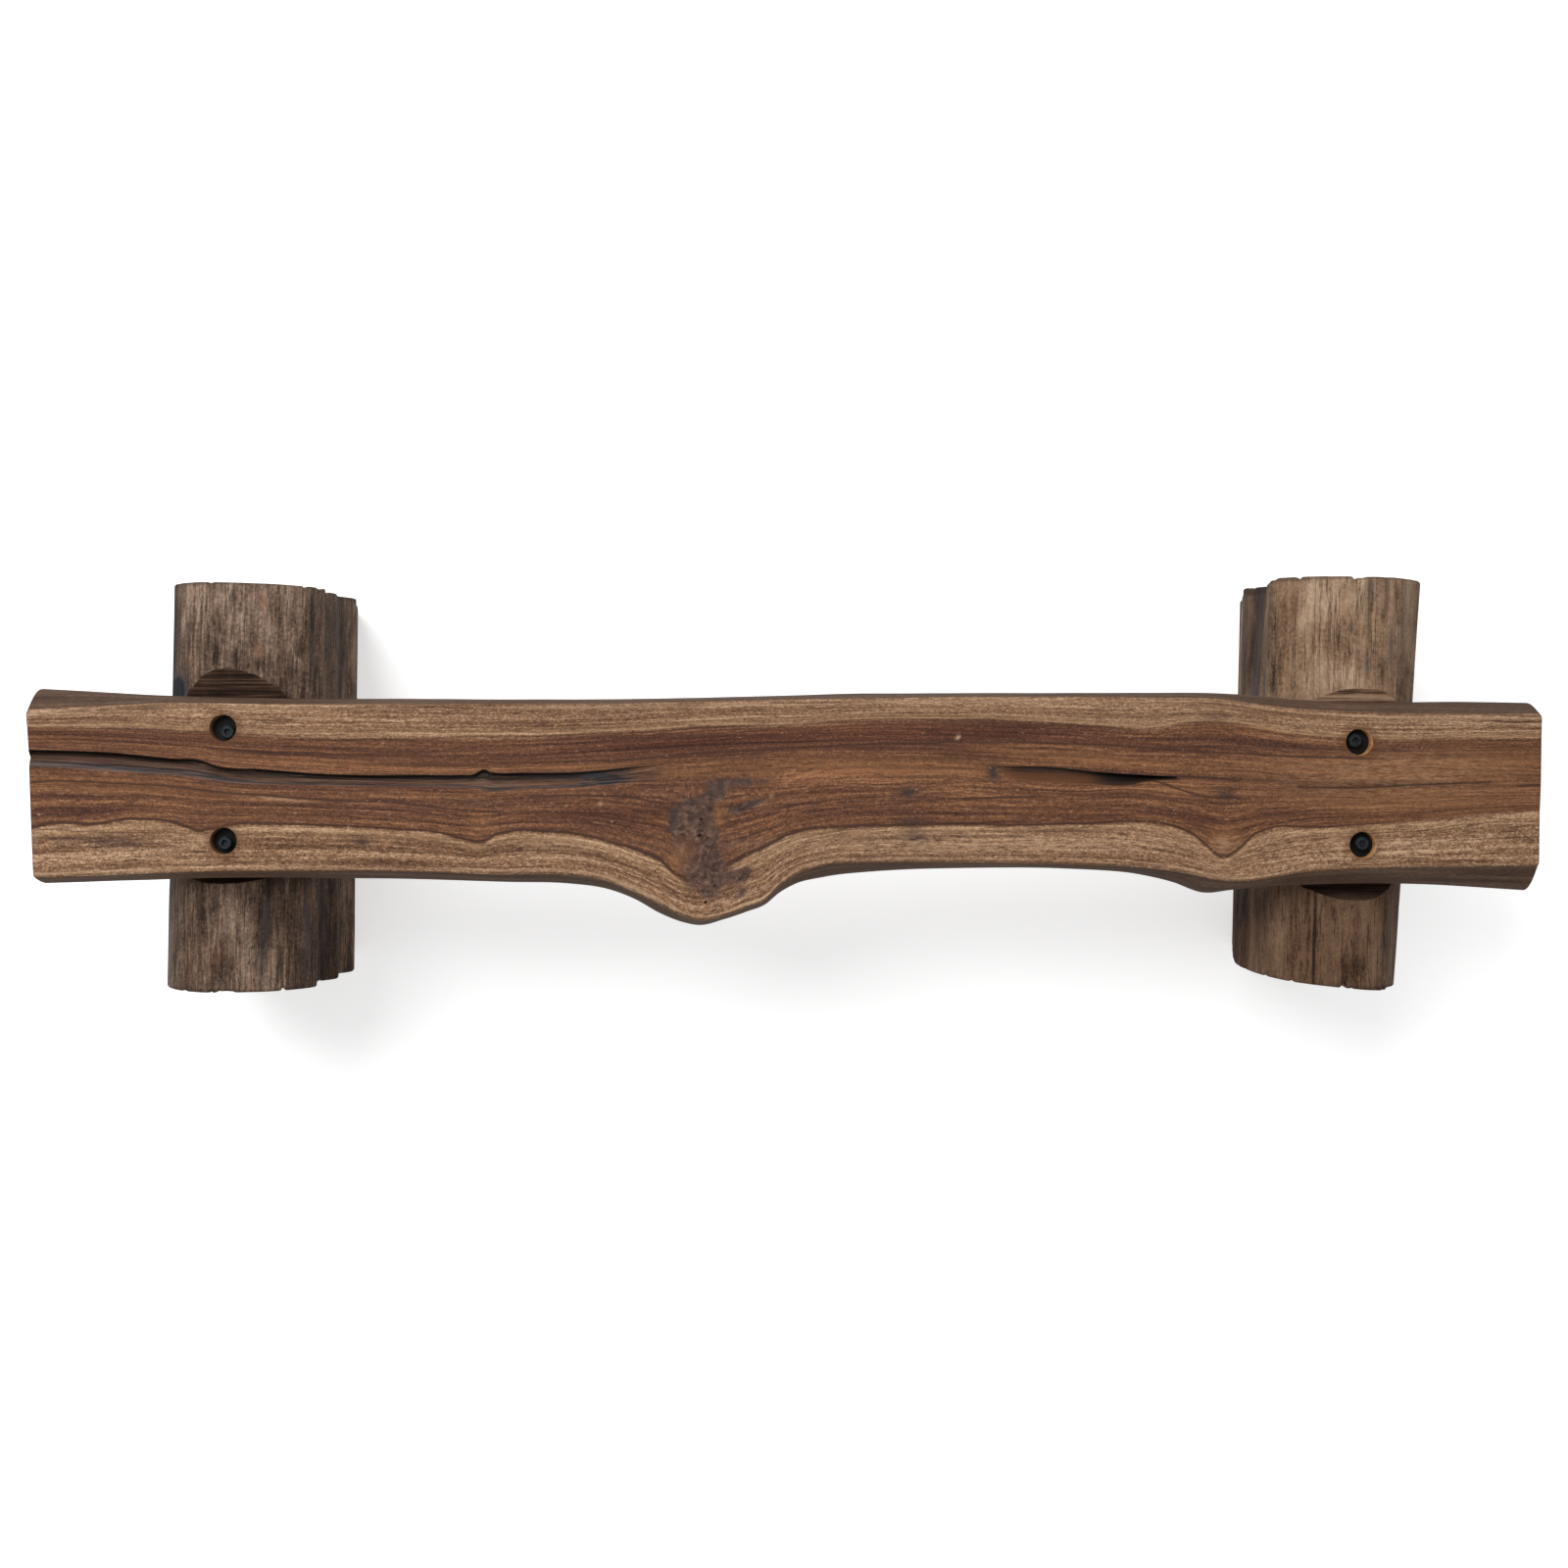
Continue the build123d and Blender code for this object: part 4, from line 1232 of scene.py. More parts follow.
# Rows of an outline: height as a share of the ridge's, and how far the outward side stands from
# the ridge as a share of the width, at the front end and at the back.
LEFT_OUTLINE = [
    (1.000, 0.000, 0.000), (0.987, 0.155, 0.155), (0.940, 0.272, 0.274), (0.874, 0.362, 0.371),
    (0.797, 0.396, 0.405), (0.705, 0.360, 0.368), (0.611, 0.415, 0.420), (0.535, 0.490, 0.480),
    (0.434, 0.440, 0.430), (0.330, 0.500, 0.505), (0.197, 0.465, 0.460), (0.126, 0.395, 0.400),
    (0.026, 0.325, 0.330), (-0.037, 0.200, 0.200), (-0.053, 0.000, 0.000),
    (-0.037, -0.170, -0.160), (0.026, -0.270, -0.250), (0.145, -0.335, -0.310),
    (0.258, -0.365, -0.345), (0.363, -0.340, -0.320), (0.470, -0.480, -0.440),
    (0.571, -0.400, -0.375), (0.663, -0.470, -0.415), (0.763, -0.375, -0.370),
    (0.860, -0.440, -0.440), (0.937, -0.330, -0.325), (0.982, -0.180, -0.180),
]
RIGHT_OUTLINE = [
    (1.000, 0.000, 0.000), (0.987, 0.137, 0.158), (0.940, 0.221, 0.274), (0.874, 0.292, 0.381),
    (0.797, 0.319, 0.419), (0.705, 0.302, 0.389), (0.611, 0.379, 0.432), (0.526, 0.421, 0.484),
    (0.434, 0.400, 0.442), (0.329, 0.442, 0.484), (0.197, 0.421, 0.442), (0.126, 0.358, 0.379),
    (0.026, 0.295, 0.305), (-0.037, 0.180, 0.190), (-0.053, -0.020, -0.020),
    (-0.037, -0.180, -0.180), (0.026, -0.210, -0.200), (0.145, -0.262, -0.250),
    (0.258, -0.315, -0.295), (0.363, -0.360, -0.305), (0.474, -0.405, -0.389),
    (0.571, -0.442, -0.316), (0.663, -0.453, -0.347), (0.763, -0.442, -0.379),
    (0.860, -0.400, -0.421), (0.937, -0.316, -0.326), (0.982, -0.180, -0.180),
]
AT_FRONT, AT_BACK = 1, 2

# side is -1 on the left and 1 on the right. ridge is X of the ridge half way along. front and
# back are Y of its ends. The skews and the lean are those of the sawn ends, in degrees. The notch
# runs between two Ys at its floor. Each of its slopes is a list of a run and a rise in mm. The
# number before the seed is how strong the painted shade on the inner flank is at the back.
LOGS = {
    "left_log": dict(side=-1, ridge=-0.5655, outline=LEFT_OUTLINE, front=-0.2174, back=0.2000,
                     lean=1.1, front_skew=0.0, back_skew=-1.5, notch=(-0.0950, 0.0825),
                     front_slope=[(6.5, 16), (12.2, 25), (19, 34)],
                     back_slope=[(1.0, 6.5), (31.5, 25), (42, 32)], flank_shade=0.0, seed=40),
    "right_log": dict(side=1, ridge=0.5820, outline=RIGHT_OUTLINE, front=-0.2135, back=0.2060,
                      lean=1.6, front_skew=-5.0, back_skew=-1.0, notch=(-0.1000, 0.0737),
                      front_slope=[(24.5, 25), (33.5, 35)],
                      back_slope=[(0.8, 7.2), (20.3, 25), (30, 34)], flank_shade=1.1, seed=60),
}
LOG_TURN = tan(radians(1.3))  # the ridges run this much to the right towards the back
NOTCH_FLOOR, NOTCH_TOP = 0.355, 0.405
CORE_HEIGHT = 0.19  # of the line that the noise is wrapped round
WRAP_RADIUS = 0.11
SWELL = 1.6 * MM  # so that the furrowed surface keeps the outline's mean place
CREST = 0.97 * RIDGE  # above this height nothing swells, so the ridge stays at its height
FACET_PRESS, FURROW_PRESS, FINE_PRESS = 1.3 * MM, 2.6 * MM, 0.9 * MM  # the three kinds of wear
FURROW_POWER = 9  # a higher one makes narrower furrows
CHIP_DEPTH, CHIP_REACH = 2.4 * MM, 12 * MM  # of the chips out of the rims


def around_outline(outline, column):
    """A closed smooth outline as shares of width and of height, with its points spread evenly.

    The rows are repeated before and after themselves, so the curve through them closes smoothly.
    """
    rows = np.array(outline)
    count = len(rows)
    index = np.arange(-count, 2 * count)
    wrapped = np.column_stack([index, rows[index % count]])
    fine = np.linspace(0, count, 6000)
    height = curve_through(wrapped, fine)
    share = curve_through(wrapped, fine, 1 + column)
    step = np.hypot(np.diff(share) * LOG_WIDTH, np.diff(height) * RIDGE)
    step = step * np.where(height[1:] < FOOT_TOP, FOOT_SHARE, 1.0)
    length = np.concatenate([[0], np.cumsum(step)])
    return fine, length / length[-1], share, height


def log_end(log, y, skew, column, trim):
    """One section's ring in its end plane, drawn in all round by trim."""
    fine, length, _, _ = around_outline(log["outline"], AT_BACK)
    at = np.interp(np.linspace(0, 1, LOG_AROUND, endpoint=False), length, fine)
    _, _, share, height = around_outline(log["outline"], column)
    share, height = np.interp(at, fine, share), np.interp(at, fine, height)
    kept = 1 - 2 * trim / LOG_WIDTH
    aside = log["side"] * share * LOG_WIDTH * kept
    upward = -RIDGE / 2 + ((height - 1) * RIDGE + RIDGE / 2) * kept
    angle, lean = radians(skew), tan(radians(log["lean"]))
    across = np.array([np.cos(angle), np.sin(angle), 0])
    out = np.array([np.sin(angle), -np.cos(angle), -np.cos(angle) * lean])
    out /= np.linalg.norm(out)
    up = np.cross(out, across)
    origin = np.array([log["ridge"] + y * LOG_TURN, y, RIDGE])
    return origin + aside[:, None] * across + upward[:, None] * up


def from_ridge(log, x, y):
    """How far a place stands to the right of the ridge."""
    return x - log["ridge"] - y * LOG_TURN


def core_place(log, x, y, z):
    """A point's place seen from the log's core: cosine and sine of its angle, and its Y."""
    aside, above = from_ridge(log, x, y), z - CORE_HEIGHT
    span = np.hypot(aside, above) + 1e-9
    return aside / span * WRAP_RADIUS, y, above / span * WRAP_RADIUS


def furrow_depth(log, x, y, z):
    """Depth of the weathering at a point in metres: facets, furrows, and fine ridges.

    A furrow is where noise passes through zero: (1 - |noise|) raised to a high power.
    """
    a, b, c = core_place(log, x, y, z)
    seed = log["seed"]
    facets = 0.5 + 0.5 * rough(a, b, c, (38, 3.0, 38), seed, 2)
    open_here = smooth_step(rough(a, b, c, (16, 4.0, 16), seed + 3, 2), -0.35, 0.45)
    furrows = (1 - np.abs(rough(a, b, c, (95, 5.5, 95), seed + 5, 2))) ** FURROW_POWER
    ridges = 0.5 + 0.5 * rough(a, b, c, (260, 11, 260), seed + 9, 2)
    return FACET_PRESS * facets + FURROW_PRESS * furrows * open_here + FINE_PRESS * ridges


def log_rings(log):
    """All sections of a log: rounded over at its two ends, straight between them."""
    trims = LOG_EASE - np.sqrt(LOG_EASE**2 - (LOG_EASE - LOG_END_STEPS) ** 2)
    front, back = [
        np.array([log_end(log, log[end] + inward * step, log[f"{end}_skew"], column, trim)
                  for step, trim in zip(LOG_END_STEPS, trims)])
        for end, inward, column in (("front", 1, AT_FRONT), ("back", -1, AT_BACK))]
    t = np.linspace(0, 1, LOG_ALONG)[1:-1, None, None]
    middle = front[-1] * (1 - t) + back[-1] * t
    return np.concatenate([front, middle, back[::-1]])


CHECKS = 13  # drying checks in each sawn end
RIM_DEPTH = 25 * MM  # how far along the log a check pulls the rim in
RIM_SHARE = 0.6  # depth of a check on the log's side, as a share of its depth in the end
CHECK_STRAY = 0.38  # how far a check strays from its even place, as a share of their gap
# Least and greatest half width in points of the outline, depth in mm, inner end as a share of
# the radius, and length along the side in mm.
CHECK_RANGES = ((0.8, 1.7), (1.2, 5), (0.1, 0.75), (15, 80))


def end_checks(log, number):
    """Random checks of one sawn end: place, half width, depth, inner end, and length."""
    draw = np.random.default_rng(log["seed"] + number)
    stray = draw.uniform(-CHECK_STRAY, CHECK_STRAY, CHECKS)
    widths, depths, inner_ends, lengths = [draw.uniform(*ends, CHECKS) for ends in CHECK_RANGES]
    return list(zip((np.arange(CHECKS) + stray) / CHECKS * LOG_AROUND, widths, depths * MM,
                    inner_ends, lengths * MM))


def wedge(place, half_width, crook=0.0):
    """1 on a check and falling away beside it as a bell, by place round the outline."""
    off = np.arange(LOG_AROUND) - place - crook
    off = (off + LOG_AROUND / 2) % LOG_AROUND - LOG_AROUND / 2
    return bell(off / half_width)


def weather(log, rings):
    """Presses the furrows and checks into the skin, chips the rims, and saws the foot flat."""
    x, y, z = rings.transpose(2, 0, 1)
    depth = furrow_depth(log, x, y, z)
    from_front = y - y[0].mean()
    from_back = y[-1].mean() - y
    for distance, number in ((from_front, 0), (from_back, 1)):
        for place, half_width, deep, _, length in end_checks(log, number):
            open_here = smooth_step(-distance, -length, 0)
            depth = depth + RIM_SHARE * deep * wedge(place, half_width) * open_here
    inward_x, inward_z = -from_ridge(log, x, y), CORE_HEIGHT - z
    span = np.hypot(inward_x, inward_z)
    rings[..., 0] += inward_x / span * (depth - SWELL)
    rings[..., 2] += inward_z / span * (depth - SWELL * (z < CREST))
    a, _, c = core_place(log, x, y, z)
    for distance, toward, seed in ((from_front, 1, 1), (from_back, -1, 2)):
        chip = smooth_step(rough(a, 0, c, (75, 1, 75), log["seed"] + 20 + seed, 3), 0.14, 0.45)
        rings[..., 1] += toward * CHIP_DEPTH * chip * smooth_step(-distance, -CHIP_REACH, 0)
    rings[..., 2] = np.maximum(rings[..., 2], 0)
    return rings


def open_checks(log, rings):
    """Sinks radial wedges into both sawn faces, deepest at the rim and pointed inside."""
    ends = len(LOG_END_SHARES)
    between = np.ones(len(rings) - 2 * ends)
    share = np.concatenate([LOG_END_SHARES[::-1], between, LOG_END_SHARES])[:, None]
    row_y = rings[..., 1].mean(axis=1)[:, None]
    for edge, toward, number in ((row_y[0], 1, 0), (row_y[-1], -1, 1)):
        near = np.clip(1 - np.abs(row_y - edge) / RIM_DEPTH, 0, 1)
        for place, half_width, deep, inner, _ in end_checks(log, number):
            crook = 6 * rough(share * 4, place, 0, (1, 1, 1), number) * (1 - share)
            sunk = wedge(place, half_width, crook) * smooth_step(share, inner, inner + 0.25)
            rings[..., 1] += toward * deep * sunk * near
    return rings


# %% Notches and bores
INSERT_BORE, SCREW_BORE = 7.05 * MM, 4.5 * MM  # radii
INSERT_BOTTOM, BORE_BOTTOM = 0.333, 0.315
SAW_POINT_GAP = 1.1 * MM  # between the cutter's points, fine enough for the saw's lines
SAW_LINE_DEPTH = 0.45 * MM
CUTTER_REACH = 0.115  # how far the cutter runs past the ridge on both sides
CUTTER_SECTIONS, BORE_ROUND = 40, 40  # sections of the cutter, and points round a bore


def notch_cutter(log):
    """A bar across the log with the notch's outline, and saw lines on its slopes."""
    front, back = log["notch"]
    before = [(front - run * MM, NOTCH_FLOOR + rise * MM) for run, rise in log["front_slope"]]
    behind = [(back + run * MM, NOTCH_FLOOR + rise * MM) for run, rise in log["back_slope"]]
    corners = np.array([(front, NOTCH_FLOOR), (back, NOTCH_FLOOR), *behind,
                        (behind[-1][0], NOTCH_TOP), (before[-1][0], NOTCH_TOP), *before[::-1]])
    sides = []
    for a, b in zip(corners, np.roll(corners, -1, axis=0)):
        count = max(2, int(np.hypot(*(b - a)) / SAW_POINT_GAP))
        sides.append(a + np.linspace(0, 1, count, endpoint=False)[:, None] * (b - a))
    outline = np.concatenate(sides)
    along = np.linspace(-CUTTER_REACH, CUTTER_REACH, CUTTER_SECTIONS) + log["ridge"]
    x, y, z = np.broadcast_arrays(along[:, None], *outline.T)
    saw = rough(0.15 * x, y, 0.3 * z, (60, 420, 420), log["seed"] + 30, 2)
    on_slope = smooth_step(z, NOTCH_FLOOR + 0.5 * MM, NOTCH_FLOOR + 3 * MM)
    z = z + saw * on_slope * SAW_LINE_DEPTH
    return np.stack([x, y, z], axis=-1)


def bore(name):
    """Cutter for an insert's bore and the pilot hole under it."""
    _, (x, y) = SCREW_HOLES[name]
    return lathe(x, y, [(NOTCH_FLOOR + 1 * MM, INSERT_BORE), (INSERT_BOTTOM, INSERT_BORE),
                        (INSERT_BOTTOM - 0.01 * MM, SCREW_BORE),
                        (BORE_BOTTOM, SCREW_BORE)], BORE_ROUND)


logs = {}
finishes = {}
for name, log in LOGS.items():
    rings = weather(log, log_rings(log))
    log["rims"] = rings[0].copy(), rings[-1].copy()
    rings = open_checks(log, with_ends(rings, LOG_END_SHARES))
    piece = closed_skin(f"{name}_timber", rings, len(LOG_END_SHARES))
    finishes[name] = [material(f"{name}_{face}") for face in ("weathered", "end_grain", "sawn")]
    for slot_material, _ in finishes[name]:
        piece.data.materials.append(slot_material)
    cut(piece, joined(f"{name}_notch", [notch_cutter(log)]))
    cut(piece, joined(f"{name}_bores", [bore(f"{name.split('_')[0]}_{end}")
                                        for end in ("back", "front")]))
    logs[name] = piece
    report(piece)

# %% What the logs' finishes read
VALLEY_SPAN = 0.16  # how much of the height a valley is measured against
VALLEY_DEEP = 0.05  # share of the width at which a valley counts in full
FOOT_ROW = 14  # of the outlines, where the outward side ends and the inward side starts
FULL_WEAR = 4 * MM  # the depth of wear that counts as 1 for the finish


def valley_share(log, x, y, z):
    """How far the outline lies inside the chord over its neighbours, as 0 to 1, by height."""
    heights = np.linspace(0.0, 1.0, 400)
    outward = from_ridge(log, x, y) * log["side"] > 0
    result = np.zeros_like(x)
    rows = np.array(log["outline"])
    for rows_here, is_here in ((rows[:FOOT_ROW + 1], outward), (rows[FOOT_ROW:], ~outward)):
        order = np.argsort(rows_here[:, 0])
        reach = np.abs(np.interp(heights, rows_here[order, 0], rows_here[order, AT_BACK]))
        above = np.interp(heights + VALLEY_SPAN / 2, heights, reach)
        below = np.interp(heights - VALLEY_SPAN / 2, heights, reach)
        inside = np.clip(((above + below) / 2 - reach) / VALLEY_DEEP, -1, 1)
        inside = inside * smooth_step(-heights, -0.92, -0.82)
        result = np.where(is_here, np.interp(z / RIDGE, heights, inside), result)
    return result


def end_share(log, x, y, z):
    """How far out a point lies on a sawn end: its radius over the rim's in that direction."""
    result = np.ones_like(x)
    for rim, is_near in zip(log["rims"], (y < 0, y >= 0)):
        middle = rim.mean(axis=0)
        angle = np.arctan2(rim[:, 2] - middle[2], rim[:, 0] - middle[0])
        radius = np.hypot(rim[:, 2] - middle[2], rim[:, 0] - middle[0])
        reach = np.interp(np.arctan2(z - middle[2], x - middle[0]), angle, radius, period=2 * pi)
        result = np.where(is_near, np.hypot(x - middle[0], z - middle[2]) / reach, result)
    return result


# Stains on the upper flutes, and painted shade down the steep flanks: X from the ridge and Y in
# mm, half width, half length, strength.
LOG_STAINS_AND_SHADE = {
    "left_log": {
        "pale": [(12.5, 154, 6, 32, 1.0), (-2, 163, 4, 35, 0.6), (38, 148, 3, 14, 0.8),
                 (-27, 163, 8, 25, 0.5), (16, -174, 12, 38, 0.6), (48, -188, 6, 20, 0.5),
                 (90, 150, 7, 60, 1.1)],
        # On the left log the dark and blue rows from -50 to -74 mm lie down the steep outer flank:
        # painted shade.
        "dark": [(67, 134, 5, 9, 1.0), (31, 117, 6, 6, 1.0), (4, 186, 3.5, 12, 1.0),
                 (24, 145, 3, 14, 0.7), (-14, 128, 3, 12, 0.9), (6, 124, 4, 9, 0.9),
                 (-50, 95, 9, 14, 1.4), (42, -133, 7, 32, 1.0), (-22, -138, 4, 28, 0.8),
                 (-8, -136, 6, 20, 0.6), (-46, 150, 6, 20, 0.6), (-70, 150, 8, 70, 1.2)],
        "rust": [(29, 131, 5, 7, 1.0), (-46, 128, 3, 15, 0.9), (-8, -181, 11, 14, 0.6),
                 (-36, -190, 5, 16, 0.6), (88, 165, 5, 30, 0.8)],
        "blue": [(-60, 90, 11, 16, 2.8), (37, -188, 5, 18, 0.9), (-74, 150, 9, 70, 0.85),
                 (-68, -160, 9, 60, 1.0), (42, -140, 5, 30, 0.7), (76, 150, 4, 60, 0.6),
                 (76, -150, 4, 50, 1.0)],
    },
    "right_log": {
        "pale": [(-13, 106, 32, 16, 0.9), (-30, 175, 16, 22, 0.4), (-27, -150, 8, 18, 0.5),
                 (42, -168, 9, 45, 0.9), (24, -165, 12, 48, 0.7),
                 (22, -188, 6, 20, 0.4), (10, 150, 14, 20, 0.3)],
        # On the right log the dark and blue rows from -98 to -113 mm lie down the steep inner flank:
        # painted shade.
        "dark": [(-44, 148, 16, 8, 0.4), (-63, 189, 3, 20, 0.6), (-1, 114, 3, 8, 0.8),
                 (23, 166, 3, 8, 0.8), (23, 109, 3, 12, 0.8), (-34, 197, 1.5, 6, 1.4),
                 (39, 188, 4, 12, 0.9), (41, 160, 3, 4, 0.9), (-38, -161, 1.4, 62, 2.2),
                 (-81, -133, 3, 26, 0.9), (3, -142, 5, 12, 0.7), (5, -190, 8, 9, 0.3),
                 (-12, -184, 3, 3, 0.9), (-112, 178, 6, 10, 1.0), (-110, 98, 5, 5, 1.0),
                 (-98, 140, 18, 70, 0.9), (-98, -140, 18, 70, 0.4)],
        "rust": [(-45, -145, 4, 12, 0.9), (1, -128, 4, 6, 0.9), (-59, -182, 9, 20, 0.6),
                 (-104, 150, 6, 20, 0.5), (-66, 170, 5, 40, 0.4), (-44, -186, 5, 16, 0.5)],
        "blue": [(9, 192, 5, 12, 0.6), (8, 115, 5, 10, 0.7), (32, 138, 4, 24, 0.8),
                 (36, -170, 6, 45, 0.8), (-113, -150, 12, 40, 0.8), (48, 150, 5, 50, 0.4)],
    },
}
UPPER_FLUTES = (0.08, 0.14)  # heights between which the stains fade in
# Middle and reach of the painted shade on the inner flank.
FLANK_SHADE_PLACE, FLANK_SHADE_REACH = (0.16, 0.16), (0.11, 0.07)  # in Y and Z


def log_stain_and_shade(log, rows, x, y, z):
    """The sum of soft ellipses on the upper flutes, as on the plank."""
    aside = from_ridge(log, x, y) / MM
    total = np.zeros_like(x)
    for across, along, half_width, half_length, strength in rows:
        total += strength * bell((aside - across) / half_width, (y / MM - along) / half_length)
    return total * smooth_step(z, *UPPER_FLUTES)


def flank_painted_shade(log, x, y, z):
    """Painted shade on the lower flutes of the inner side at the back, as one soft ellipse in Y and
    Z.
    """
    inward = smooth_step(-from_ridge(log, x, y) * log["side"], 0.03, 0.06)
    off_y, off_z = [(at - place) / reach
                    for at, place, reach in zip((y, z), FLANK_SHADE_PLACE, FLANK_SHADE_REACH)]
    return log["flank_shade"] * inward * bell(off_y, off_z)


for name, log in LOGS.items():
    x, y, z = positions(logs[name])
    carry(logs[name], "bark", *core_place(log, x, y, z))
    carry(logs[name], "wear", furrow_depth(log, x, y, z) / FULL_WEAR, valley_share(log, x, y, z),
          np.minimum(y - log["front"], log["back"] - y))
    carry(logs[name], "pith", from_ridge(log, x, y) / LOG_WIDTH * 2,
          (z - CORE_HEIGHT) / RIDGE * 2, end_share(log, x, y, z))
    # The dark and blue rows hold stains and also the painted shade down the steep flanks.
    stains = {kind: log_stain_and_shade(log, rows, x, y, z) for kind, rows in LOG_STAINS_AND_SHADE[name].items()}
    carry(logs[name], "stains", stains["pale"], stains["dark"], stains["rust"])
    carry(logs[name], "blue", stains["blue"])
    # The inner flank's painted shade.
    carry(logs[name], "flank", flank_painted_shade(log, x, y, z))

# %% [markdown]
# ## The logs' finishes
#
# The bark is off and the wood has stood outside, so it is grey-brown and streaked along the
# fibres. Rust and tannin have bled down in places and the furrows are dark. The valleys between
# lobes get a blue-grey painted shade. The left log is greyer and the right one warmer. Both get
# painted shade at the front, and each gets it down one steep flank. The notches are dark saw cuts,
# and the right one has a painted shaded front slope and a painted lit back slope.

# %% Weathered sides
FURROW_BROWN = (34, 24, 19)
BARK_LAYERS = {
    "broad": ((30, 3.4, 30), 3), "streaks": ((170, 9, 170), 4, 0.65),
    "fine": ((620, 34, 620), 3, 0.65), "grit": ((560, 300, 560), 2, 0.7),
    "patches": ((42, 20, 42), 4, 0.6), "cool": ((26, 2.2, 26), 2),
    "cracks": ((300, 9, 300), 3, 0.6),
}
# Each log's ramp from its darkest streaks to its palest, how much painted shade darkens its
# front, and how strong its fine streaks are.
SIDE_LOOKS = {
    "left_log": (((0.08, 38, 26, 21), (0.32, 74, 57, 46), (0.52, 100, 80, 66),
                  (0.72, 127, 105, 89), (0.95, 157, 135, 117)), 0.25, 1.15),
    "right_log": (((0.08, 54, 37, 26), (0.32, 101, 77, 57), (0.52, 134, 107, 84),
                   (0.72, 155, 128, 104), (0.95, 178, 153, 129)), 0.80, 0.55),
}


def finish_weathered(finish, tones, front_shade, fine_gain):
    """Streaked grey-brown wood with furrows and rust, and painted shade: blue-grey in the valleys,
    down the steep flanks and over the front.
    """
    bark = finish.attribute("bark")
    _, along, _ = finish.parts(bark)
    wear, valley, from_end = finish.parts(finish.attribute("wear"))
    pale, dark, rusty = finish.parts(finish.attribute("stains"))
    blue_stain_and_shade = finish.attribute("blue", "Fac")
    wood = finish.layers(bark, BARK_LAYERS)
    tone = finish.tone(wood, broad=1.3, streaks=0.35 + fine_gain / 2, fine=fine_gain,
                       patches=0.9, grit=0.5 + fine_gain / 3)
    # dark holds stains and the painted shade down the steep flanks.
    finish.base = finish.ramp(tone + pale * 0.26 - dark * 0.32, *tones)

    rust = finish.math("MAXIMUM", rusty * finish.step(wood.streaks, 0.34, 0.54),
                       finish.step(wood.patches, 0.56, 0.72) * finish.step(wood.streaks, 0.44, 0.6))
    finish.lay(rust * 0.5, (118, 72, 46))
    # Painted shade: blue-grey in the valleys between lobes, and the blue rows, which are stains and
    # painted shade on the flanks; the strongest go nearly black.
    blue = finish.math("MAXIMUM", blue_stain_and_shade * finish.step(wood.streaks, 0.31, 0.47),
                       finish.step(valley, 0.05, 0.6) * finish.step(wood.cool, 0.35, 0.6))
    finish.lay(blue * 0.70, finish.mix(finish.step(blue_stain_and_shade, 0.9, 1.4), (72, 67, 68),
                                       (26, 27, 33)))

    finish.lay(finish.step(wear, 0.50, 0.80) * (0.25 + 0.4 * fine_gain), FURROW_BROWN)
    crack = finish.line(wood.cracks - 0.56, 0.014)
    finish.lay(crack * 0.55, FURROW_BROWN)
    knots = finish.add("ShaderNodeTexVoronoi", {
        "Vector": finish.vector("MULTIPLY", bark, (21, 13, 21)), "Scale": 1.0})
    knot = finish.step(knots, 0.20, 0.05) * finish.step(wood.patches, 0.42, 0.62)
    finish.lay(knot * 0.75, (46, 30, 22))
    finish.lay(finish.step(from_end, 0.005, 0.0) * 0.6, (56, 42, 34))

    # Painted shade over the front of each log, which the lamp behind the bench leaves in shade.
    finish.lay(finish.step(along, 0.02, -0.10) * front_shade, (156, 138, 126), "MULTIPLY")
    # Painted shade: the inner flank is made darker and cooler, where the seat leaves it in shade.
    finish.lay(finish.attribute("flank", "Fac") * (wood.streaks + 0.5), (170, 175, 196),
               "MULTIPLY")
    height = wood.streaks * 0.7 + wood.fine * 0.5 - crack * 0.6 - knot * 0.4
    finish.surface(wood.fine * 0.2 + 0.62, height, 0.0014, **OILED)


# %% Sawn ends and notches
LOG_END_LAYERS = {
    "sway": ((22, 22, 22), 3), "mottle": ((55, 55, 55), 4, 0.6), "specks": ((900, 900, 900), 2),
    "saw": ((14, 14, 340), 2),
}
WIDE_RINGS, THIN_RINGS = 13.0, 62.0  # rings between the pith and the rim

# Each ramp goes from the saw's deepest lines to its palest.
DARK_CUT = ((0.20, 25, 16, 11), (0.42, 48, 33, 25), (0.60, 69, 50, 39), (0.84, 104, 81, 66))
# Painted shade: a darker copy of the sawn wood, for the right log's front slope.
SHADED_CUT = ((0.20, 18, 12, 9), (0.42, 36, 25, 18), (0.60, 53, 39, 30), (0.84, 82, 64, 51))
# Painted light: a paler copy of the sawn wood, for the right log's back slope, which the lamp behind
# reaches.
LIT_CUT = ((0.20, 66, 47, 35), (0.42, 148, 116, 90), (0.60, 190, 155, 126),
            (0.84, 216, 188, 160))
# Each log's notch: the ramp of its front slope, then that of its back slope. The right log's
# front slope takes painted shade and its back slope painted light.
NOTCH_TONES = {"left_log": (DARK_CUT, DARK_CUT), "right_log": (SHADED_CUT, LIT_CUT)}


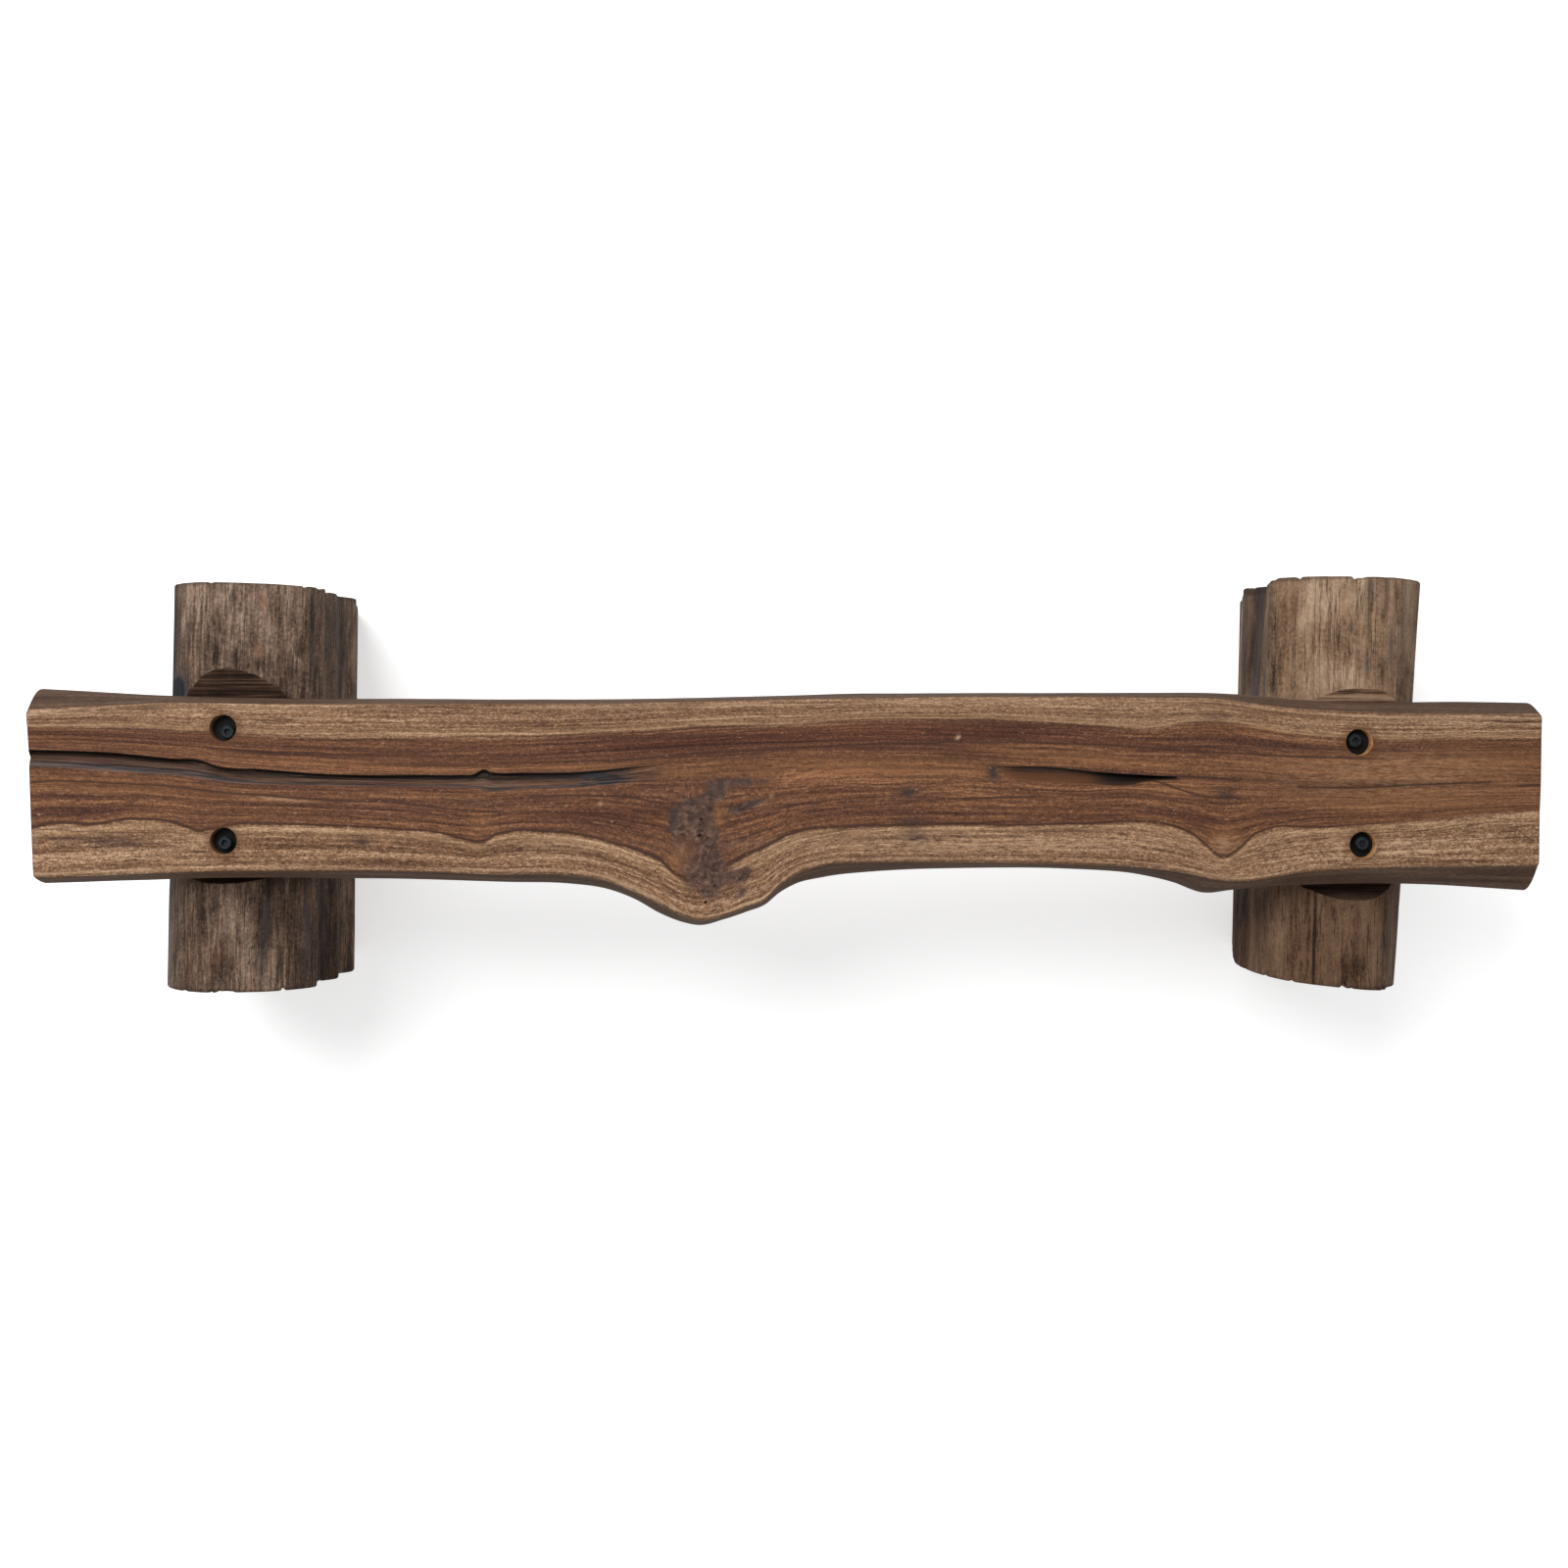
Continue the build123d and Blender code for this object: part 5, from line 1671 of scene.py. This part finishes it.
def finish_log_end(finish):
    """Sawn end: growth rings that follow the flutes, fine rays, and the saw's marks."""
    across, above, share = finish.parts(finish.attribute("pith"))
    wood = finish.layers(finish.place(), LOG_END_LAYERS)
    ring = share + (wood.sway - 0.5) * 0.13
    wood.wide, wood.thin = [finish.noise(finish.join(ring * count), (1, 1, 1), 2)
                            for count in (WIDE_RINGS, THIN_RINGS)]
    tone = finish.tone(wood, wide=0.9, thin=0.7, mottle=0.8, specks=0.7, saw=0.5)
    finish.base = finish.ramp(tone, (0.20, 48, 34, 26), (0.42, 82, 62, 48), (0.60, 108, 84, 66),
                              (0.82, 142, 116, 95))
    finish.lay(finish.step(ring, 0.84, 0.89) * 0.40, (150, 124, 100))
    finish.lay(finish.step(share, 0.14, 0.03) * 0.7, (40, 28, 22))
    check = ray_checks(finish, across, above, 7, 2, 0.010) * finish.step(wood.mottle, 0.36, 0.54)
    finish.lay(check * 0.75, (24, 17, 13))
    finish.surface(0.78, tone * 0.6 - check * 0.8, 0.0012, **OILED)


def finish_notch(finish, front_tones, back_tones):
    """Saw-cut faces across the fibres, with the blade's lines along the log. The front and the back
    slope take their own ramps, which on the right log are painted shade and painted light.
    """
    place = finish.place()
    _, along, _ = finish.parts(place)
    cut_wood = SimpleNamespace(lines=finish.noise(place, (9, 340, 260), 4, 0.65),
                               cloud=finish.noise(place, (30, 30, 30), 3))
    tone = finish.tone(cut_wood, lines=1.9, cloud=0.6)
    # Front and back slopes take their own ramps: on the right log one painted shaded and one painted
    # lit.
    finish.base = finish.mix(finish.step(along, 0.0, 0.01), finish.ramp(tone, *front_tones),
                             finish.ramp(tone, *back_tones))
    finish.surface(0.75, cut_wood.lines, 0.0007, **OILED)


for name, ((_, sides), (_, ends), (_, notch)) in finishes.items():
    finish_weathered(sides, *SIDE_LOOKS[name])
    finish_log_end(ends)
    finish_notch(notch, *NOTCH_TONES[name])
print("log finishes:", len(bpy.data.materials), "materials so far")

# %% [markdown]
# ## Screws, washers and inserts
#
# The CAD solids already have their true shape, so they stay and only get a finish. The screws
# and washers are black oxide: a thin dark coat over steel, with a dull sheen that varies in
# clouds and a few worn specks. The inserts inside the logs are zinc plated.

# %% Metal finishes
def finish_oxide(finish, low, high):
    """Black oxide between two tones, in clouds and with a few worn specks."""
    place = finish.place()
    clouds = finish.noise(place, (260, 260, 260), 3)
    specks = finish.noise(place, (1400, 1400, 1400), 2)
    finish.base = finish.ramp(clouds, (0.35, *low), (0.65, *high))
    finish.lay(finish.step(specks, 0.66, 0.76) * 0.5, (70, 66, 62))
    finish.surface(clouds * 0.3 + 0.42, specks, 0.00008, **{"Specular IOR Level": 0.10})


black_oxide, screw = material("black_oxide")
finish_oxide(screw, (20, 24, 27), (40, 46, 50))
dull_oxide, washer = material("dull_black_oxide")
finish_oxide(washer, (6, 5, 5), (11, 10, 9))

zinc_plate, zinc = material("zinc_plate")
spangle = zinc.noise(zinc.place(), (500, 500, 120), 3)
zinc.base = zinc.ramp(spangle, (0.35, 160, 158, 148), (0.65, 196, 192, 178))
zinc.surface(spangle * 0.25 + 0.25, spangle, 0.0001, Metallic=1.0)

METALS = {"bolt": black_oxide, "washer": dull_oxide, "insert": zinc_plate}
metal_nodes = [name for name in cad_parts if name.split("_")[0] in METALS]
for name in metal_nodes:
    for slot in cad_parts[name].material_slots:
        slot.material = METALS[name.split("_")[0]]
print("metal on", len(metal_nodes), "nodes")

# %% [markdown]
# ## Into the frame
#
# Each timber skin stands for its CAD node and rides on the one body. Edges sharper than a good
# bevel stay crisp, and everything else is shaded smooth.

# %% Replace the nodes and finish
SHARP_ANGLE = radians(42)
for piece, node, slot_name in ((plank, "seat_plank", "seat_wood"),
                               (logs["left_log"], "left_log", "log_wood"),
                               (logs["right_log"], "right_log", "log_wood")):
    piece.data.polygons.foreach_set("use_smooth", np.ones(len(piece.data.polygons), bool))
    piece.data.set_sharp_from_angle(angle=SHARP_ANGLE)
    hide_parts(node)
    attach(piece, "root")
